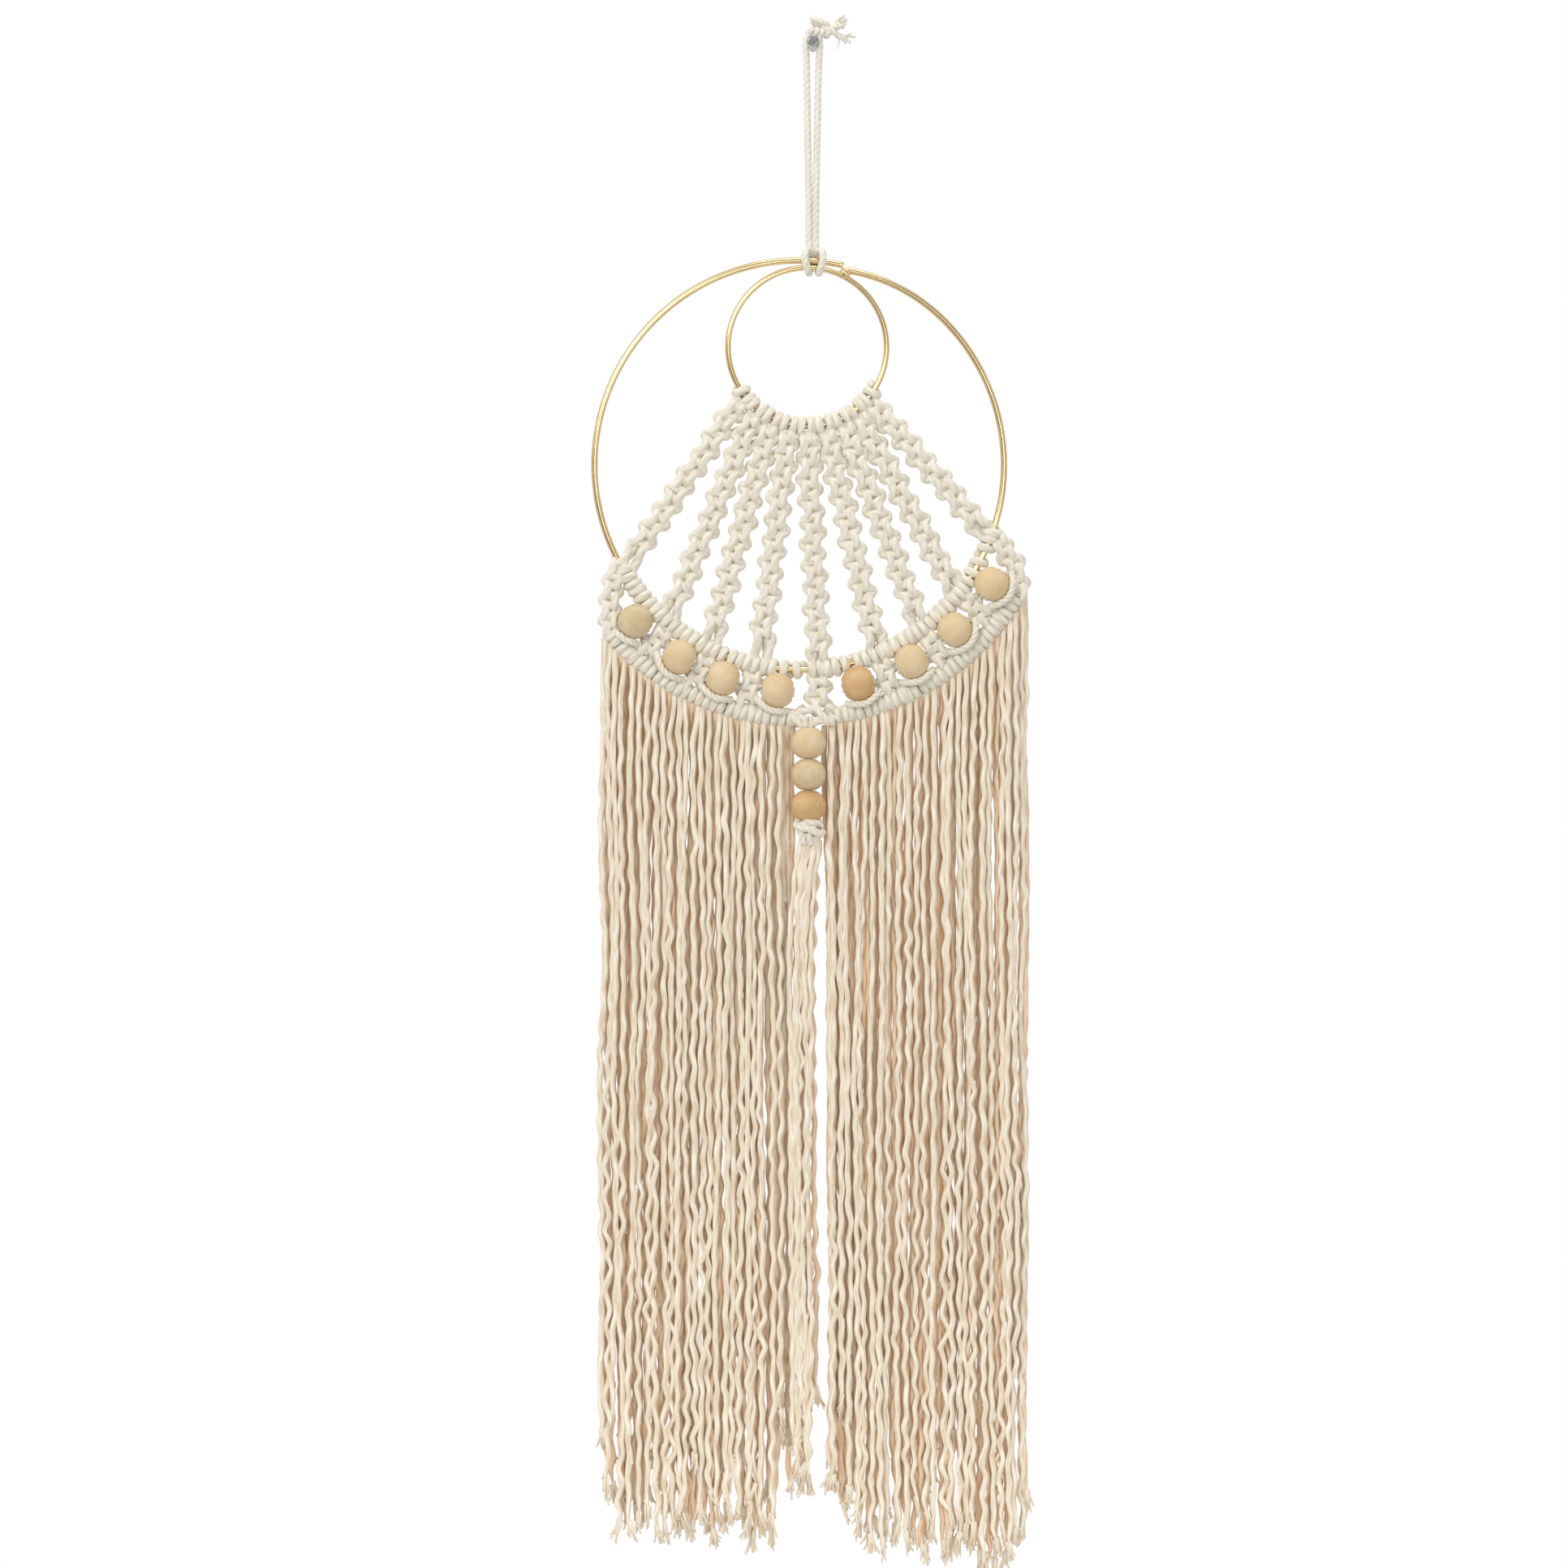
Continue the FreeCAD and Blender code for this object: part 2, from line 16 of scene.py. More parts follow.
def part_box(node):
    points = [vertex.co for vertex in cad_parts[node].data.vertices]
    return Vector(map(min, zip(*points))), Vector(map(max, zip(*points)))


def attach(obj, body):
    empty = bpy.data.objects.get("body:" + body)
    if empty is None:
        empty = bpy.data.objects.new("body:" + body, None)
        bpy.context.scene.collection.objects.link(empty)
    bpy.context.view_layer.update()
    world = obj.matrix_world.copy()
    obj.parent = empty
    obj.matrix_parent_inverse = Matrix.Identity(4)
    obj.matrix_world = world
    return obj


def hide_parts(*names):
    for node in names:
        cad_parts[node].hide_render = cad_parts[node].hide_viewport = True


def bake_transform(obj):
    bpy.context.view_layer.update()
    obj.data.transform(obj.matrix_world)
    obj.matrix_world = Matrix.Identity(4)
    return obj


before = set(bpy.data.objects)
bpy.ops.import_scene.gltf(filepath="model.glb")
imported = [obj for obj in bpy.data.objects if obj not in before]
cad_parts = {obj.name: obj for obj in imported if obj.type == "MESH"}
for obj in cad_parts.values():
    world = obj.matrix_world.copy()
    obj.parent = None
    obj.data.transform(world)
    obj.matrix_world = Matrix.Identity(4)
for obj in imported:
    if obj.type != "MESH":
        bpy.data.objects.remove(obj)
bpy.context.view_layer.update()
MM = 0.001


# %% [markdown]
# The camera stands straight in front, far off, so that the two rings read as true circles.
# A long lens does the same in a studio. The hanging fills the height of the frame.

# %% Camera
FRAME_HEIGHT = 753.5 * MM
FRAME_MIDDLE = Vector((-14.0 * MM, -7.0 * MM, -357.2 * MM))
CAMERA_DISTANCE = 3.0
SENSOR = 36.0


def in_scene(name, data):
    """An object that shows some data, linked to the scene."""
    made = bpy.data.objects.new(name, data)
    bpy.context.scene.collection.objects.link(made)
    return made


camera_data = bpy.data.cameras.new("studio_camera")
camera_data.sensor_width = SENSOR
camera_data.lens = SENSOR * CAMERA_DISTANCE / FRAME_HEIGHT
camera = in_scene("studio_camera", camera_data)
camera.location = FRAME_MIDDLE - Vector((0, CAMERA_DISTANCE, 0))
camera.rotation_euler = (math.radians(90), 0, 0)
bpy.context.scene.camera = camera
print(f"camera: {camera_data.lens:.0f} mm lens")


# %% [markdown]
# Cotton is matt and pale, so hard light would burn it out and lose the twist of the strands.
# One large soft light from the upper left shapes the cords, a weaker one on the right opens
# the shadows, a small one lights the tops of the beads, and a white world does the rest. The
# room in front of the wall is dimmer than the wall, so that the brass has something dark to
# reflect.

# %% Light, floor and world
LIGHTS = {
    "key_light": ((-1.3, -1.9, 0.9), 1.4, 30.0, (1.0, 0.985, 0.96)),
    "fill_light": ((0.6, -2.2, -0.5), 1.6, 17.0, (0.97, 0.985, 1.0)),
    "top_light": ((0.1, -0.5, 1.2), 0.9, 5.0, (1.0, 1.0, 1.0)),
}
LIGHT_TARGET = Vector((0, 0, -0.35))
FLOOR_DEPTH = -0.80
FLOOR_REACH = 0.36
WORLD_SEEN = 1.0
ROOM_LIGHT, WALL_LIGHT = 0.15, 0.85
ROOM_SIDE, WALL_SIDE = -0.9, -0.1


def set_inputs(node, values):
    """Sets a node's plain inputs by their names."""
    for socket, value in values.items():
        node.inputs[socket].default_value = value


for name, (place, width, power, tint) in LIGHTS.items():
    lamp = bpy.data.lights.new(name, "AREA")
    lamp.shape = "DISK"
    lamp.size = width
    lamp.energy = power
    lamp.color = tint
    lamp_object = in_scene(name, lamp)
    lamp_object.location = place
    lamp_object.rotation_euler = (LIGHT_TARGET - Vector(place)).to_track_quat("-Z", "Y").to_euler()

world = bpy.data.worlds.new("white_room")
world.use_nodes = True
tree = world.node_tree
background = tree.nodes["Background"]
heading = tree.nodes.new("ShaderNodeSeparateXYZ")
tree.links.new(tree.nodes.new("ShaderNodeTexCoord").outputs["Generated"], heading.inputs["Vector"])
room = tree.nodes.new("ShaderNodeMapRange")
set_inputs(room, {"From Min": ROOM_SIDE, "From Max": WALL_SIDE,
                  "To Min": ROOM_LIGHT, "To Max": WALL_LIGHT})
tree.links.new(heading.outputs["Y"], room.inputs["Value"])
seen = tree.nodes.new("ShaderNodeLightPath")
strength = tree.nodes.new("ShaderNodeMapRange")
set_inputs(strength, {"To Max": WORLD_SEEN})
tree.links.new(seen.outputs["Is Camera Ray"], strength.inputs["Value"])
tree.links.new(room.outputs["Result"], strength.inputs["To Min"])
tree.links.new(strength.outputs["Result"], background.inputs["Strength"])
set_inputs(background, {"Color": (1, 1, 1, 1)})
bpy.context.scene.world = world
bpy.context.scene.view_settings.view_transform = "Standard"

floor_mesh = bmesh.new()
bmesh.ops.create_grid(floor_mesh, x_segments=1, y_segments=1, size=FLOOR_REACH,
                      matrix=Matrix.Translation((0, 0, FLOOR_DEPTH)))
floor_data = bpy.data.meshes.new("floor")
floor_mesh.to_mesh(floor_data)
floor_mesh.free()
floor = in_scene("floor", floor_data)
print(f"lights: {', '.join(LIGHTS)}")


# %% [markdown]
# Finishes. Cotton cord is a bundle of soft fibres, so its look is in fine streaks along the
# strand, a faint sheen at grazing angles and small changes of tone from strand to strand.
# The streaks read the cord's own UV map, which follows the strand, so they bend with a knot.
# A painted attribute, tint, lays painted shade: where a groove or a rear strand should be in
# shade, it brings in a darker, warmer groove tone.

# %% Finishes: helpers
def tone(red, green, blue):
    """A colour given as on a paint chart, 0 to 255, as the renderer counts light."""
    shares = [value / 255 for value in (red, green, blue)]
    return tuple(value / 12.92 if value <= 0.04045 else ((value + 0.055) / 1.055) ** 2.4
                 for value in shares)


def new_material(name):
    """An empty node material: the material, its nodes, its links and its shader."""
    material = bpy.data.materials.new(name)
    material.use_nodes = True
    nodes = material.node_tree.nodes
    return material, nodes, material.node_tree.links, nodes["Principled BSDF"]


def drawn_noise(nodes, links, vector, stretch, detail=3.0):
    """Noise drawn out differently along each direction."""
    mapping = nodes.new("ShaderNodeMapping")
    set_inputs(mapping, {"Scale": stretch})
    pattern = nodes.new("ShaderNodeTexNoise")
    set_inputs(pattern, {"Scale": 1.0, "Detail": detail})
    links.new(vector, mapping.inputs["Vector"])
    links.new(mapping.outputs["Vector"], pattern.inputs["Vector"])
    return pattern.outputs["Fac"]


def ramp_between(nodes, links, factor, first, second, low=0.0, high=1.0):
    """A ramp from one colour to another."""
    ramp = nodes.new("ShaderNodeValToRGB")
    for element, colour, position in zip(ramp.color_ramp.elements, (first, second), (low, high)):
        element.color = (*colour, 1)
        element.position = position
    links.new(factor, ramp.inputs["Fac"])
    return ramp.outputs["Color"]


def multiply(nodes, links, first, second):
    """One colour laid over another, as stain over wood."""
    mix = nodes.new("ShaderNodeMix")
    mix.data_type = "RGBA"
    mix.blend_type = "MULTIPLY"
    set_inputs(mix, {"Factor": 1.0})
    links.new(first, mix.inputs["A"])
    links.new(second, mix.inputs["B"])
    return mix.outputs["Result"]


def bumped(nodes, links, shader, height, strength, distance):
    """Fine relief from a height, on the shader's normal."""
    bump = nodes.new("ShaderNodeBump")
    set_inputs(bump, {"Strength": strength, "Distance": distance})
    links.new(height, bump.inputs["Height"])
    links.new(bump.outputs["Normal"], shader.inputs["Normal"])


print("helpers: colours, noise, ramps, relief")


# %% Finishes: cotton
def cotton(name, pale, shaded, groove):
    """Twisted cotton: mottled fibres, painted shade in grooves and on rear strands, a soft nap."""
    material, nodes, links, shader = new_material(name)
    uv = nodes.new("ShaderNodeUVMap").outputs["UV"]
    tint = nodes.new("ShaderNodeAttribute")
    tint.attribute_name = "tint"
    coarse = drawn_noise(nodes, links, uv, (7.0, 0.8, 1.0))
    fine = drawn_noise(nodes, links, uv, (26.0, 2.2, 1.0), detail=2.0)
    fibre = ramp_between(nodes, links, coarse, shaded, pale, 0.25, 0.7)
    # The groove tone is painted shade: the lower the tint, the more of it lies on the fibres.
    depth = ramp_between(nodes, links, tint.outputs["Fac"], groove, (1, 1, 1))
    links.new(multiply(nodes, links, fibre, depth), shader.inputs["Base Color"])
    set_inputs(shader, {"Roughness": 0.92, "Sheen Weight": 0.2, "Sheen Roughness": 0.6,
                        "Specular IOR Level": 0.15})
    both = nodes.new("ShaderNodeMath")
    both.operation = "ADD"
    links.new(coarse, both.inputs[0])
    links.new(fine, both.inputs[1])
    bumped(nodes, links, shader, both.outputs["Value"], 0.5, 0.3 * MM)
    return material


# The third tone of each cotton is its painted shade, laid into grooves and on rear strands.
hanger_cotton = cotton("hanger_cotton", tone(240, 239, 230), tone(226, 220, 204), tone(210, 192, 166))
knot_cotton = cotton("knot_cotton", tone(241, 238, 226), tone(228, 220, 202), tone(208, 178, 142))
fringe_cotton = cotton("fringe_cotton", tone(253, 247, 233), tone(216, 190, 153), tone(250, 196, 138))
print("cotton finishes: hanger, knots, fringe")


# %% [markdown]
# Brass wire is smooth but not polished: long soft highlights, and a slow change of tone. The
# braze is paler, with the lumps of the melt. The screw is zinc-plated steel.

# %% Finishes: metals
def metal(name, bright, dull, roughness, grain, relief):
    """Bare metal with an uneven, lightly worn surface."""
    material, nodes, links, shader = new_material(name)
    place = nodes.new("ShaderNodeTexCoord").outputs["Object"]
    patches = drawn_noise(nodes, links, place, (grain, grain, grain), detail=2.0)
    links.new(ramp_between(nodes, links, patches, dull, bright, 0.3, 0.7), shader.inputs["Base Color"])
    set_inputs(shader, {"Metallic": 1.0, "Roughness": roughness})
    if relief:
        bumped(nodes, links, shader, patches, 0.25, relief)
    return material


brass = metal("brass", tone(238, 214, 168), tone(222, 194, 142), 0.26, 60.0, 0)
braze = metal("braze", tone(252, 238, 196), tone(214, 182, 120), 0.24, 1200.0, 0.15 * MM)
steel = metal("steel", tone(180, 180, 178), tone(140, 140, 138), 0.28, 500.0, 0)
print("metals: brass, braze, steel")


# %% [markdown]
# The beads are raw turned wood, sanded but not varnished. Each is turned from a stick, so
# its year rings are cut into arches: bands round a line that misses the bead's middle. The
# bands read a painted attribute, grain, which holds every bead's own wood directions.

# %% Finishes: wood
def wood(name, light, band, stain):
    """Raw turned wood: faint year rings, drawn-out pores and a slow change of tone."""
    material, nodes, links, shader = new_material(name)
    grain = nodes.new("ShaderNodeAttribute")
    grain.attribute_name = "grain"
    place = grain.outputs["Vector"]
    rings = nodes.new("ShaderNodeTexWave")
    rings.wave_type = "RINGS"
    rings.rings_direction = "Z"
    set_inputs(rings, {"Scale": 0.42, "Distortion": 2.2, "Detail": 3.0, "Detail Scale": 0.7})
    links.new(place, rings.inputs["Vector"])
    pores = drawn_noise(nodes, links, place, (3.2, 3.2, 0.35), detail=4.0)
    slow = drawn_noise(nodes, links, place, (0.16, 0.16, 0.1), detail=1.0)
    banded = ramp_between(nodes, links, rings.outputs["Fac"], band, light, 0.0, 0.8)
    flecked = ramp_between(nodes, links, pores, tone(240, 230, 214), (1, 1, 1), 0.3, 0.5)
    stained = ramp_between(nodes, links, slow, stain, (1, 1, 1), 0.35, 0.65)
    surface = multiply(nodes, links, multiply(nodes, links, banded, flecked), stained)
    links.new(surface, shader.inputs["Base Color"])
    set_inputs(shader, {"Roughness": 0.62, "Specular IOR Level": 0.3})
    bumped(nodes, links, shader, pores, 0.35, 0.06 * MM)
    return material


wood_pale = wood("wood_pale", tone(228, 208, 174), tone(220, 196, 158), tone(250, 243, 233))
wood_tan = wood("wood_tan", tone(220, 189, 144), tone(206, 172, 125), tone(246, 234, 220))
wood_olive = wood("wood_olive", tone(224, 206, 174), tone(212, 193, 158), tone(240, 234, 224))
print("woods: pale, tan, olive")


# %% [markdown]
# The floor isn't part of the hanging. It lies a hand's width below the fringe and is nearly
# white, so that it throws no colour of its own on the cords. Two close tones, mixed by a
# broad noise, keep it from looking like empty paper.

# %% Finishes: floor
floor_paint, nodes, links, shader = new_material("floor_paint")
place = nodes.new("ShaderNodeTexCoord").outputs["Object"]
mottle = drawn_noise(nodes, links, place, (6.0, 6.0, 6.0))
links.new(ramp_between(nodes, links, mottle, tone(240, 240, 238), tone(246, 246, 245)),
          shader.inputs["Base Color"])
set_inputs(shader, {"Roughness": 0.8})
floor.data.materials.append(floor_paint)
print("floor: pale paint")


# %% [markdown]
# Every cord starts as a line. A few points give its course, and a smooth spline through
# Blender's own curve runs past them. The line is then read back at even steps, because the
# cord's twist has to be even along it.

# %% Lines
SPLINE_STEPS = 12


def smooth_lines(routes):
    """Each route's points as one smooth line, read from Blender's spline."""
    curve = bpy.data.curves.new("routes", "CURVE")
    curve.dimensions = "3D"
    curve.resolution_u = SPLINE_STEPS
    for route in routes:
        spline = curve.splines.new("NURBS")
        spline.points.add(len(route) - 1)
        for point, place in zip(spline.points, route):
            point.co = (*place, 1)
        spline.order_u = 3
        spline.use_endpoint_u = True
    holder = bpy.data.objects.new("routes", curve)
    mesh = bpy.data.meshes.new_from_object(holder)
    places = np.empty(len(mesh.vertices) * 3)
    mesh.vertices.foreach_get("co", places)
    places = places.reshape(-1, 3)
    joined = np.empty(len(mesh.edges) * 2, dtype=int)
    mesh.edges.foreach_get("vertices", joined)
    linked = np.zeros(len(places), dtype=bool)
    linked[joined.reshape(-1, 2).max(axis=1)] = True
    starts = np.flatnonzero(~linked)
    bpy.data.objects.remove(holder)
    bpy.data.curves.remove(curve)
    bpy.data.meshes.remove(mesh)
    return np.split(places, starts[1:])


def run_lengths(line):
    """The distance along a line at each of its points."""
    steps = np.linalg.norm(np.diff(line, axis=0), axis=1)
    return np.concatenate(([0.0], np.cumsum(steps)))


def evenly(line, step):
    """The same line with its points an even step apart."""
    along = run_lengths(line)
    count = max(3, round(along[-1] / step) + 1)
    places = np.linspace(0, along[-1], count)
    return np.stack([np.interp(places, along, line[:, axis]) for axis in range(3)], axis=1)


def cross_directions(line):
    """Two directions square to the line at each point, carried along it without twist."""
    ahead = np.gradient(line, axis=0)
    ahead /= np.linalg.norm(ahead, axis=1)[:, None]
    guide = np.array((0.0, 1.0, 0.0)) if abs(ahead[0][1]) < 0.9 else np.array((1.0, 0.0, 0.0))
    side = np.empty_like(line)
    for index, direction in enumerate(ahead):
        guide = guide - direction * guide.dot(direction)
        guide = guide / np.linalg.norm(guide)
        side[index] = guide
    return side, np.cross(ahead, side)


print("lines: smooth, even, with carried directions")


# %% [markdown]
# A skein gathers cords into one mesh. A twisted cord's section is not round: three plies
# make three ridges that turn as they go along. Sweeping that section gives real grooves,
# which catch the light where a bump map would only hint at them.

# %% Skein: the twisted sleeve
RIDGE_SHAPE = 0.7
WEAVE_RADIUS = 1.2 * MM


def twisted(line, radius, sides, ridges, lay_length, groove, phase):
    """A twisted section's points along a line, and how much each stands on a ridge."""
    side, over = cross_directions(line)
    turn = np.arange(sides) * (2 * math.pi / sides)
    twist = run_lengths(line) * (2 * math.pi / lay_length) + phase
    ridge = np.abs(np.cos(ridges / 2 * (turn[None, :] - twist[:, None]))) ** RIDGE_SHAPE
    reach = (radius * np.ones(len(line)))[:, None] * (1 - groove + groove * ridge)
    outwards = np.cos(turn)[None, :, None] * side[:, None]
    outwards = outwards + np.sin(turn)[None, :, None] * over[:, None]
    return (line[:, None] + reach[..., None] * outwards).reshape(-1, 3), ridge


def sleeve(first, rings, sides):
    """The faces of a sleeve whose first point has the number first, and its two end caps."""
    start = first + np.arange(rings - 1)[:, None] * sides
    here = np.arange(sides)[None, :]
    after = (here + 1) % sides
    ahead = start + sides
    quads = np.stack([start + here, start + after, ahead + after, ahead + here], axis=2)
    last = first + (rings - 1) * sides
    return quads.reshape(-1, 4), [first + np.arange(sides)[::-1], last + np.arange(sides)]


def sleeve_map(line, radius, sides, phase):
    """The sleeve's UV map: round the cord, and down along it at the same scale."""
    here = np.arange(sides)[None, :]
    weave = max(np.mean(radius), WEAVE_RADIUS)
    across = np.stack([here, here + 1, here + 1, here], axis=2) / sides
    across = across * np.mean(radius) / weave + phase
    down = run_lengths(line) / (2 * math.pi * weave)
    down = np.stack([down[:-1], down[:-1], down[1:], down[1:]], axis=1)[:, None, :]
    return np.stack(np.broadcast_arrays(across, down), axis=3).reshape(-1, 2)


print("sleeves: twisted section, faces, UV map")


# %% Skein: cords in one mesh
# Painted shade in the grooves: a cord's tint at a groove's bottom, as a share of it on a ridge.
GROOVE_PAINTED_SHADE = 0.62


def fitted(made, body, nodes):
    """Puts an object on its body and takes its plain nodes out of view."""
    if body:
        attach(made, body)
    if nodes:
        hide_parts(*nodes)


class Skein:
    """Cords gathered into one mesh, with their UV map and tint, which carries painted shade."""

    def __init__(self):
        self.places, self.quads, self.caps = [], [], []
        self.uvs, self.painted_shades = [], []
        self.count = 0

    def lay(self, line, radius, tint=1.0, sides=12, ridges=3, lay_length=13 * MM,
            groove=0.2, phase=0.0):
        """Sweeps a twisted section along a line."""
        places, ridge = twisted(line, radius, sides, ridges, lay_length, groove, phase)
        quads, caps = sleeve(self.count, len(line), sides)
        self.places.append(places)
        # Painted shade: the tint falls towards each groove between the plies.
        self.painted_shades.append((tint * (GROOVE_PAINTED_SHADE + (1 - GROOVE_PAINTED_SHADE) * ridge)).ravel())
        self.quads.append(quads)
        self.caps += caps
        self.uvs.append(sleeve_map(line, radius, sides, phase))
        self.count += len(places)

    def piece(self, name, material, body, slot_name, nodes=()):
        """The skein as a finished object on a body."""
        mesh = bpy.data.meshes.new(name)
        places = np.concatenate(self.places)
        quads = np.concatenate(self.quads)
        sizes = np.concatenate([np.full(len(quads), 4), [len(cap) for cap in self.caps]])
        corners = np.concatenate([quads.ravel(), *self.caps])
        mesh.vertices.add(len(places))
        mesh.vertices.foreach_set("co", places.ravel())
        mesh.loops.add(len(corners))
        mesh.loops.foreach_set("vertex_index", corners)
        mesh.polygons.add(len(sizes))
        mesh.polygons.foreach_set("loop_start", np.concatenate(([0], np.cumsum(sizes)[:-1])))
        mesh.update(calc_edges=True)
        uv = np.zeros((len(corners), 2))
        uv[:len(quads) * 4] = np.concatenate(self.uvs)
        mesh.uv_layers.new(name="UVMap").data.foreach_set("uv", uv.ravel())
        tint = mesh.attributes.new("tint", "FLOAT", "POINT")
        tint.data.foreach_set("value", np.concatenate(self.painted_shades))
        mesh.polygons.foreach_set("use_smooth", np.ones(len(sizes), dtype=bool))
        mesh.materials.append(material)
        made = in_scene(name, mesh)
        fitted(made, body, nodes)
        print(f"{name}: {int((sizes - 2).sum())} triangles")
        return made

    def knotwork(self, name, nodes, body="panel"):
        """The skein as a finished piece of knotted cord."""
        return self.piece(name, knot_cotton, body, "knotted_cord", nodes)


print("skein: ready for cords")


# %% [markdown]
# The two rings are bent from brass wire. The large one is not closed: its outer end lies
# over the top, and its inner end bends in beside the small ring, where it is brazed. Spin is
# the tool for bent wire: a circle is carried round the ring's centre, then round a second
# centre for the tighter inner bend. The ends are capped and their edges broken.

# %% Rings: sizes from the frame
def middle_of(node):
    """The centre of a node's box."""
    low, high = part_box(node)
    return (np.array(low) + np.array(high)) / 2


def ring_sizes(node):
    """A ring's wire thickness and centreline radius."""
    low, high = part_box(node)
    wire = high[1] - low[1]
    return wire, (high[0] - low[0] - wire) / 2


LARGE_CENTRE = middle_of("large_ring")
SMALL_CENTRE = middle_of("small_ring")
LARGE_WIRE, LARGE_RADIUS = ring_sizes("large_ring")
SMALL_WIRE, SMALL_RADIUS = ring_sizes("small_ring")
RING_PLANE = LARGE_CENTRE[1]
OUTER_END = 12.5
INNER_BEND = 45.0
INNER_END = 27.0
INNER_GAP = 0.3 * MM
print(f"rings: radius {LARGE_RADIUS / MM:.1f} and {SMALL_RADIUS / MM:.1f} mm")


def on_ring(centre, radius, angle, depth=RING_PLANE):
    """A point at an angle in degrees from straight down, positive to the right."""
    turn = math.radians(angle)
    return np.array((centre[0] + radius * math.sin(turn), depth, centre[2] - radius * math.cos(turn)))


# %% Rings: bending the wire
WIRE_SIDES = 24
WIRE_STEP = 1.0
WELD = 0.001 * MM
END_BREAK = 0.3 * MM


def finished(mesh, name, material, body, nodes, sharp=40.0):
    """A bmesh as a finished object on a body, smooth but for its sharp edges."""
    bmesh.ops.remove_doubles(mesh, verts=mesh.verts, dist=WELD)
    bmesh.ops.recalc_face_normals(mesh, faces=mesh.faces)
    for face in mesh.faces:
        face.smooth = True
    for edge in mesh.edges:
        if edge.is_manifold and edge.calc_face_angle() > math.radians(sharp):
            edge.smooth = False
    data = bpy.data.meshes.new(name)
    mesh.to_mesh(data)
    mesh.free()
    data.materials.append(material)
    fitted(in_scene(name, data), body, nodes)
    print(f"{name}: {len(data.polygons)} faces")


def wire_circle(mesh, centre, radius, wire, angle):
    """The wire's section, at an angle in degrees right of a ring's top."""
    place = Matrix.Translation(Vector(centre)) @ Matrix.Rotation(math.radians(angle), 4, "Y")
    place = place @ Matrix.Translation((0, 0, radius)) @ Matrix.Rotation(math.radians(90), 4, "Y")
    made = bmesh.ops.create_circle(mesh, segments=WIRE_SIDES, radius=wire / 2, matrix=place)
    return [edge for vert in made["verts"] for edge in vert.link_edges]


def bend_wire(mesh, section, centre, degrees):
    """Carries the wire's section round a centre, to the left over the top if negative."""
    section = list(set(section))
    verts = list({vert for edge in section for vert in edge.verts})
    steps = max(2, round(abs(degrees) / WIRE_STEP))
    whole = abs(degrees) == 360
    made = bmesh.ops.spin(mesh, geom=verts + section, cent=Vector(centre), axis=(0, 1, 0),
                          angle=math.radians(degrees), steps=steps, use_merge=whole)
    return [item for item in made["geom_last"] if isinstance(item, bmesh.types.BMEdge)]


small_wire_mesh = bmesh.new()
bend_wire(small_wire_mesh, wire_circle(small_wire_mesh, SMALL_CENTRE, SMALL_RADIUS, SMALL_WIRE, 0),
          SMALL_CENTRE, 360)
finished(small_wire_mesh, "small_ring_wire", brass, "panel", ["small_ring"])

inner_reach = SMALL_RADIUS + (LARGE_WIRE + SMALL_WIRE) / 2 + INNER_GAP
inner_tip = on_ring(SMALL_CENTRE, inner_reach, 180 - INNER_END)
towards_bend = np.array((math.sin(math.radians(INNER_BEND)), 0, math.cos(math.radians(INNER_BEND))))
to_tip = inner_tip - LARGE_CENTRE
shift = (LARGE_RADIUS ** 2 - to_tip @ to_tip) / (2 * (LARGE_RADIUS - to_tip @ towards_bend))
bend_centre = LARGE_CENTRE + towards_bend * shift
tip_angle = math.degrees(math.atan2(inner_tip[0] - bend_centre[0], inner_tip[2] - bend_centre[2]))

large_wire_mesh = bmesh.new()
section = wire_circle(large_wire_mesh, LARGE_CENTRE, LARGE_RADIUS, LARGE_WIRE, OUTER_END)
section = bend_wire(large_wire_mesh, section, LARGE_CENTRE, -(360 - INNER_BEND + OUTER_END))
bend_wire(large_wire_mesh, section, bend_centre, tip_angle - INNER_BEND)
bmesh.ops.remove_doubles(large_wire_mesh, verts=large_wire_mesh.verts, dist=WELD)
bmesh.ops.holes_fill(large_wire_mesh, edges=large_wire_mesh.edges, sides=WIRE_SIDES)
end_faces = [face for face in large_wire_mesh.faces if len(face.verts) == WIRE_SIDES]
end_edges = list({edge for face in end_faces for edge in face.edges})
bmesh.ops.bevel(large_wire_mesh, geom=end_edges, offset=END_BREAK, offset_type="OFFSET", segments=2,
                profile=0.5, affect="EDGES", material=-1)
finished(large_wire_mesh, "large_ring_wire", brass, "panel", ["large_ring"])


# %% [markdown]
# The braze is a drop of melted metal that froze between the wire's inner end and the small
# ring, so it is a ball pulled out of shape: a fine sphere whose points are pushed in and out
# by smooth noise, and pressed a little flat.

# %% Braze
BRAZE_RADIUS = 2.5 * MM
BRAZE_LUMPS = 0.5 * MM
BRAZE_GRAIN = 0.7 / MM
BRAZE_FLATNESS = 0.9
BRAZE_MIDDLE = Vector(middle_of("ring_braze"))

blob = bmesh.new()
bmesh.ops.create_icosphere(blob, subdivisions=4, radius=BRAZE_RADIUS,
                           matrix=Matrix.Translation(BRAZE_MIDDLE))
for vert in blob.verts:
    outwards = (vert.co - BRAZE_MIDDLE).normalized()
    vert.co += outwards * BRAZE_LUMPS * noise.noise(vert.co * BRAZE_GRAIN)
    vert.co.y = RING_PLANE + (vert.co.y - RING_PLANE) * BRAZE_FLATNESS
finished(blob, "ring_braze_drop", braze, "panel", ["ring_braze"])

steel_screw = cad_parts["wall_screw"]
steel_screw.data.materials.clear()
steel_screw.data.materials.append(steel)


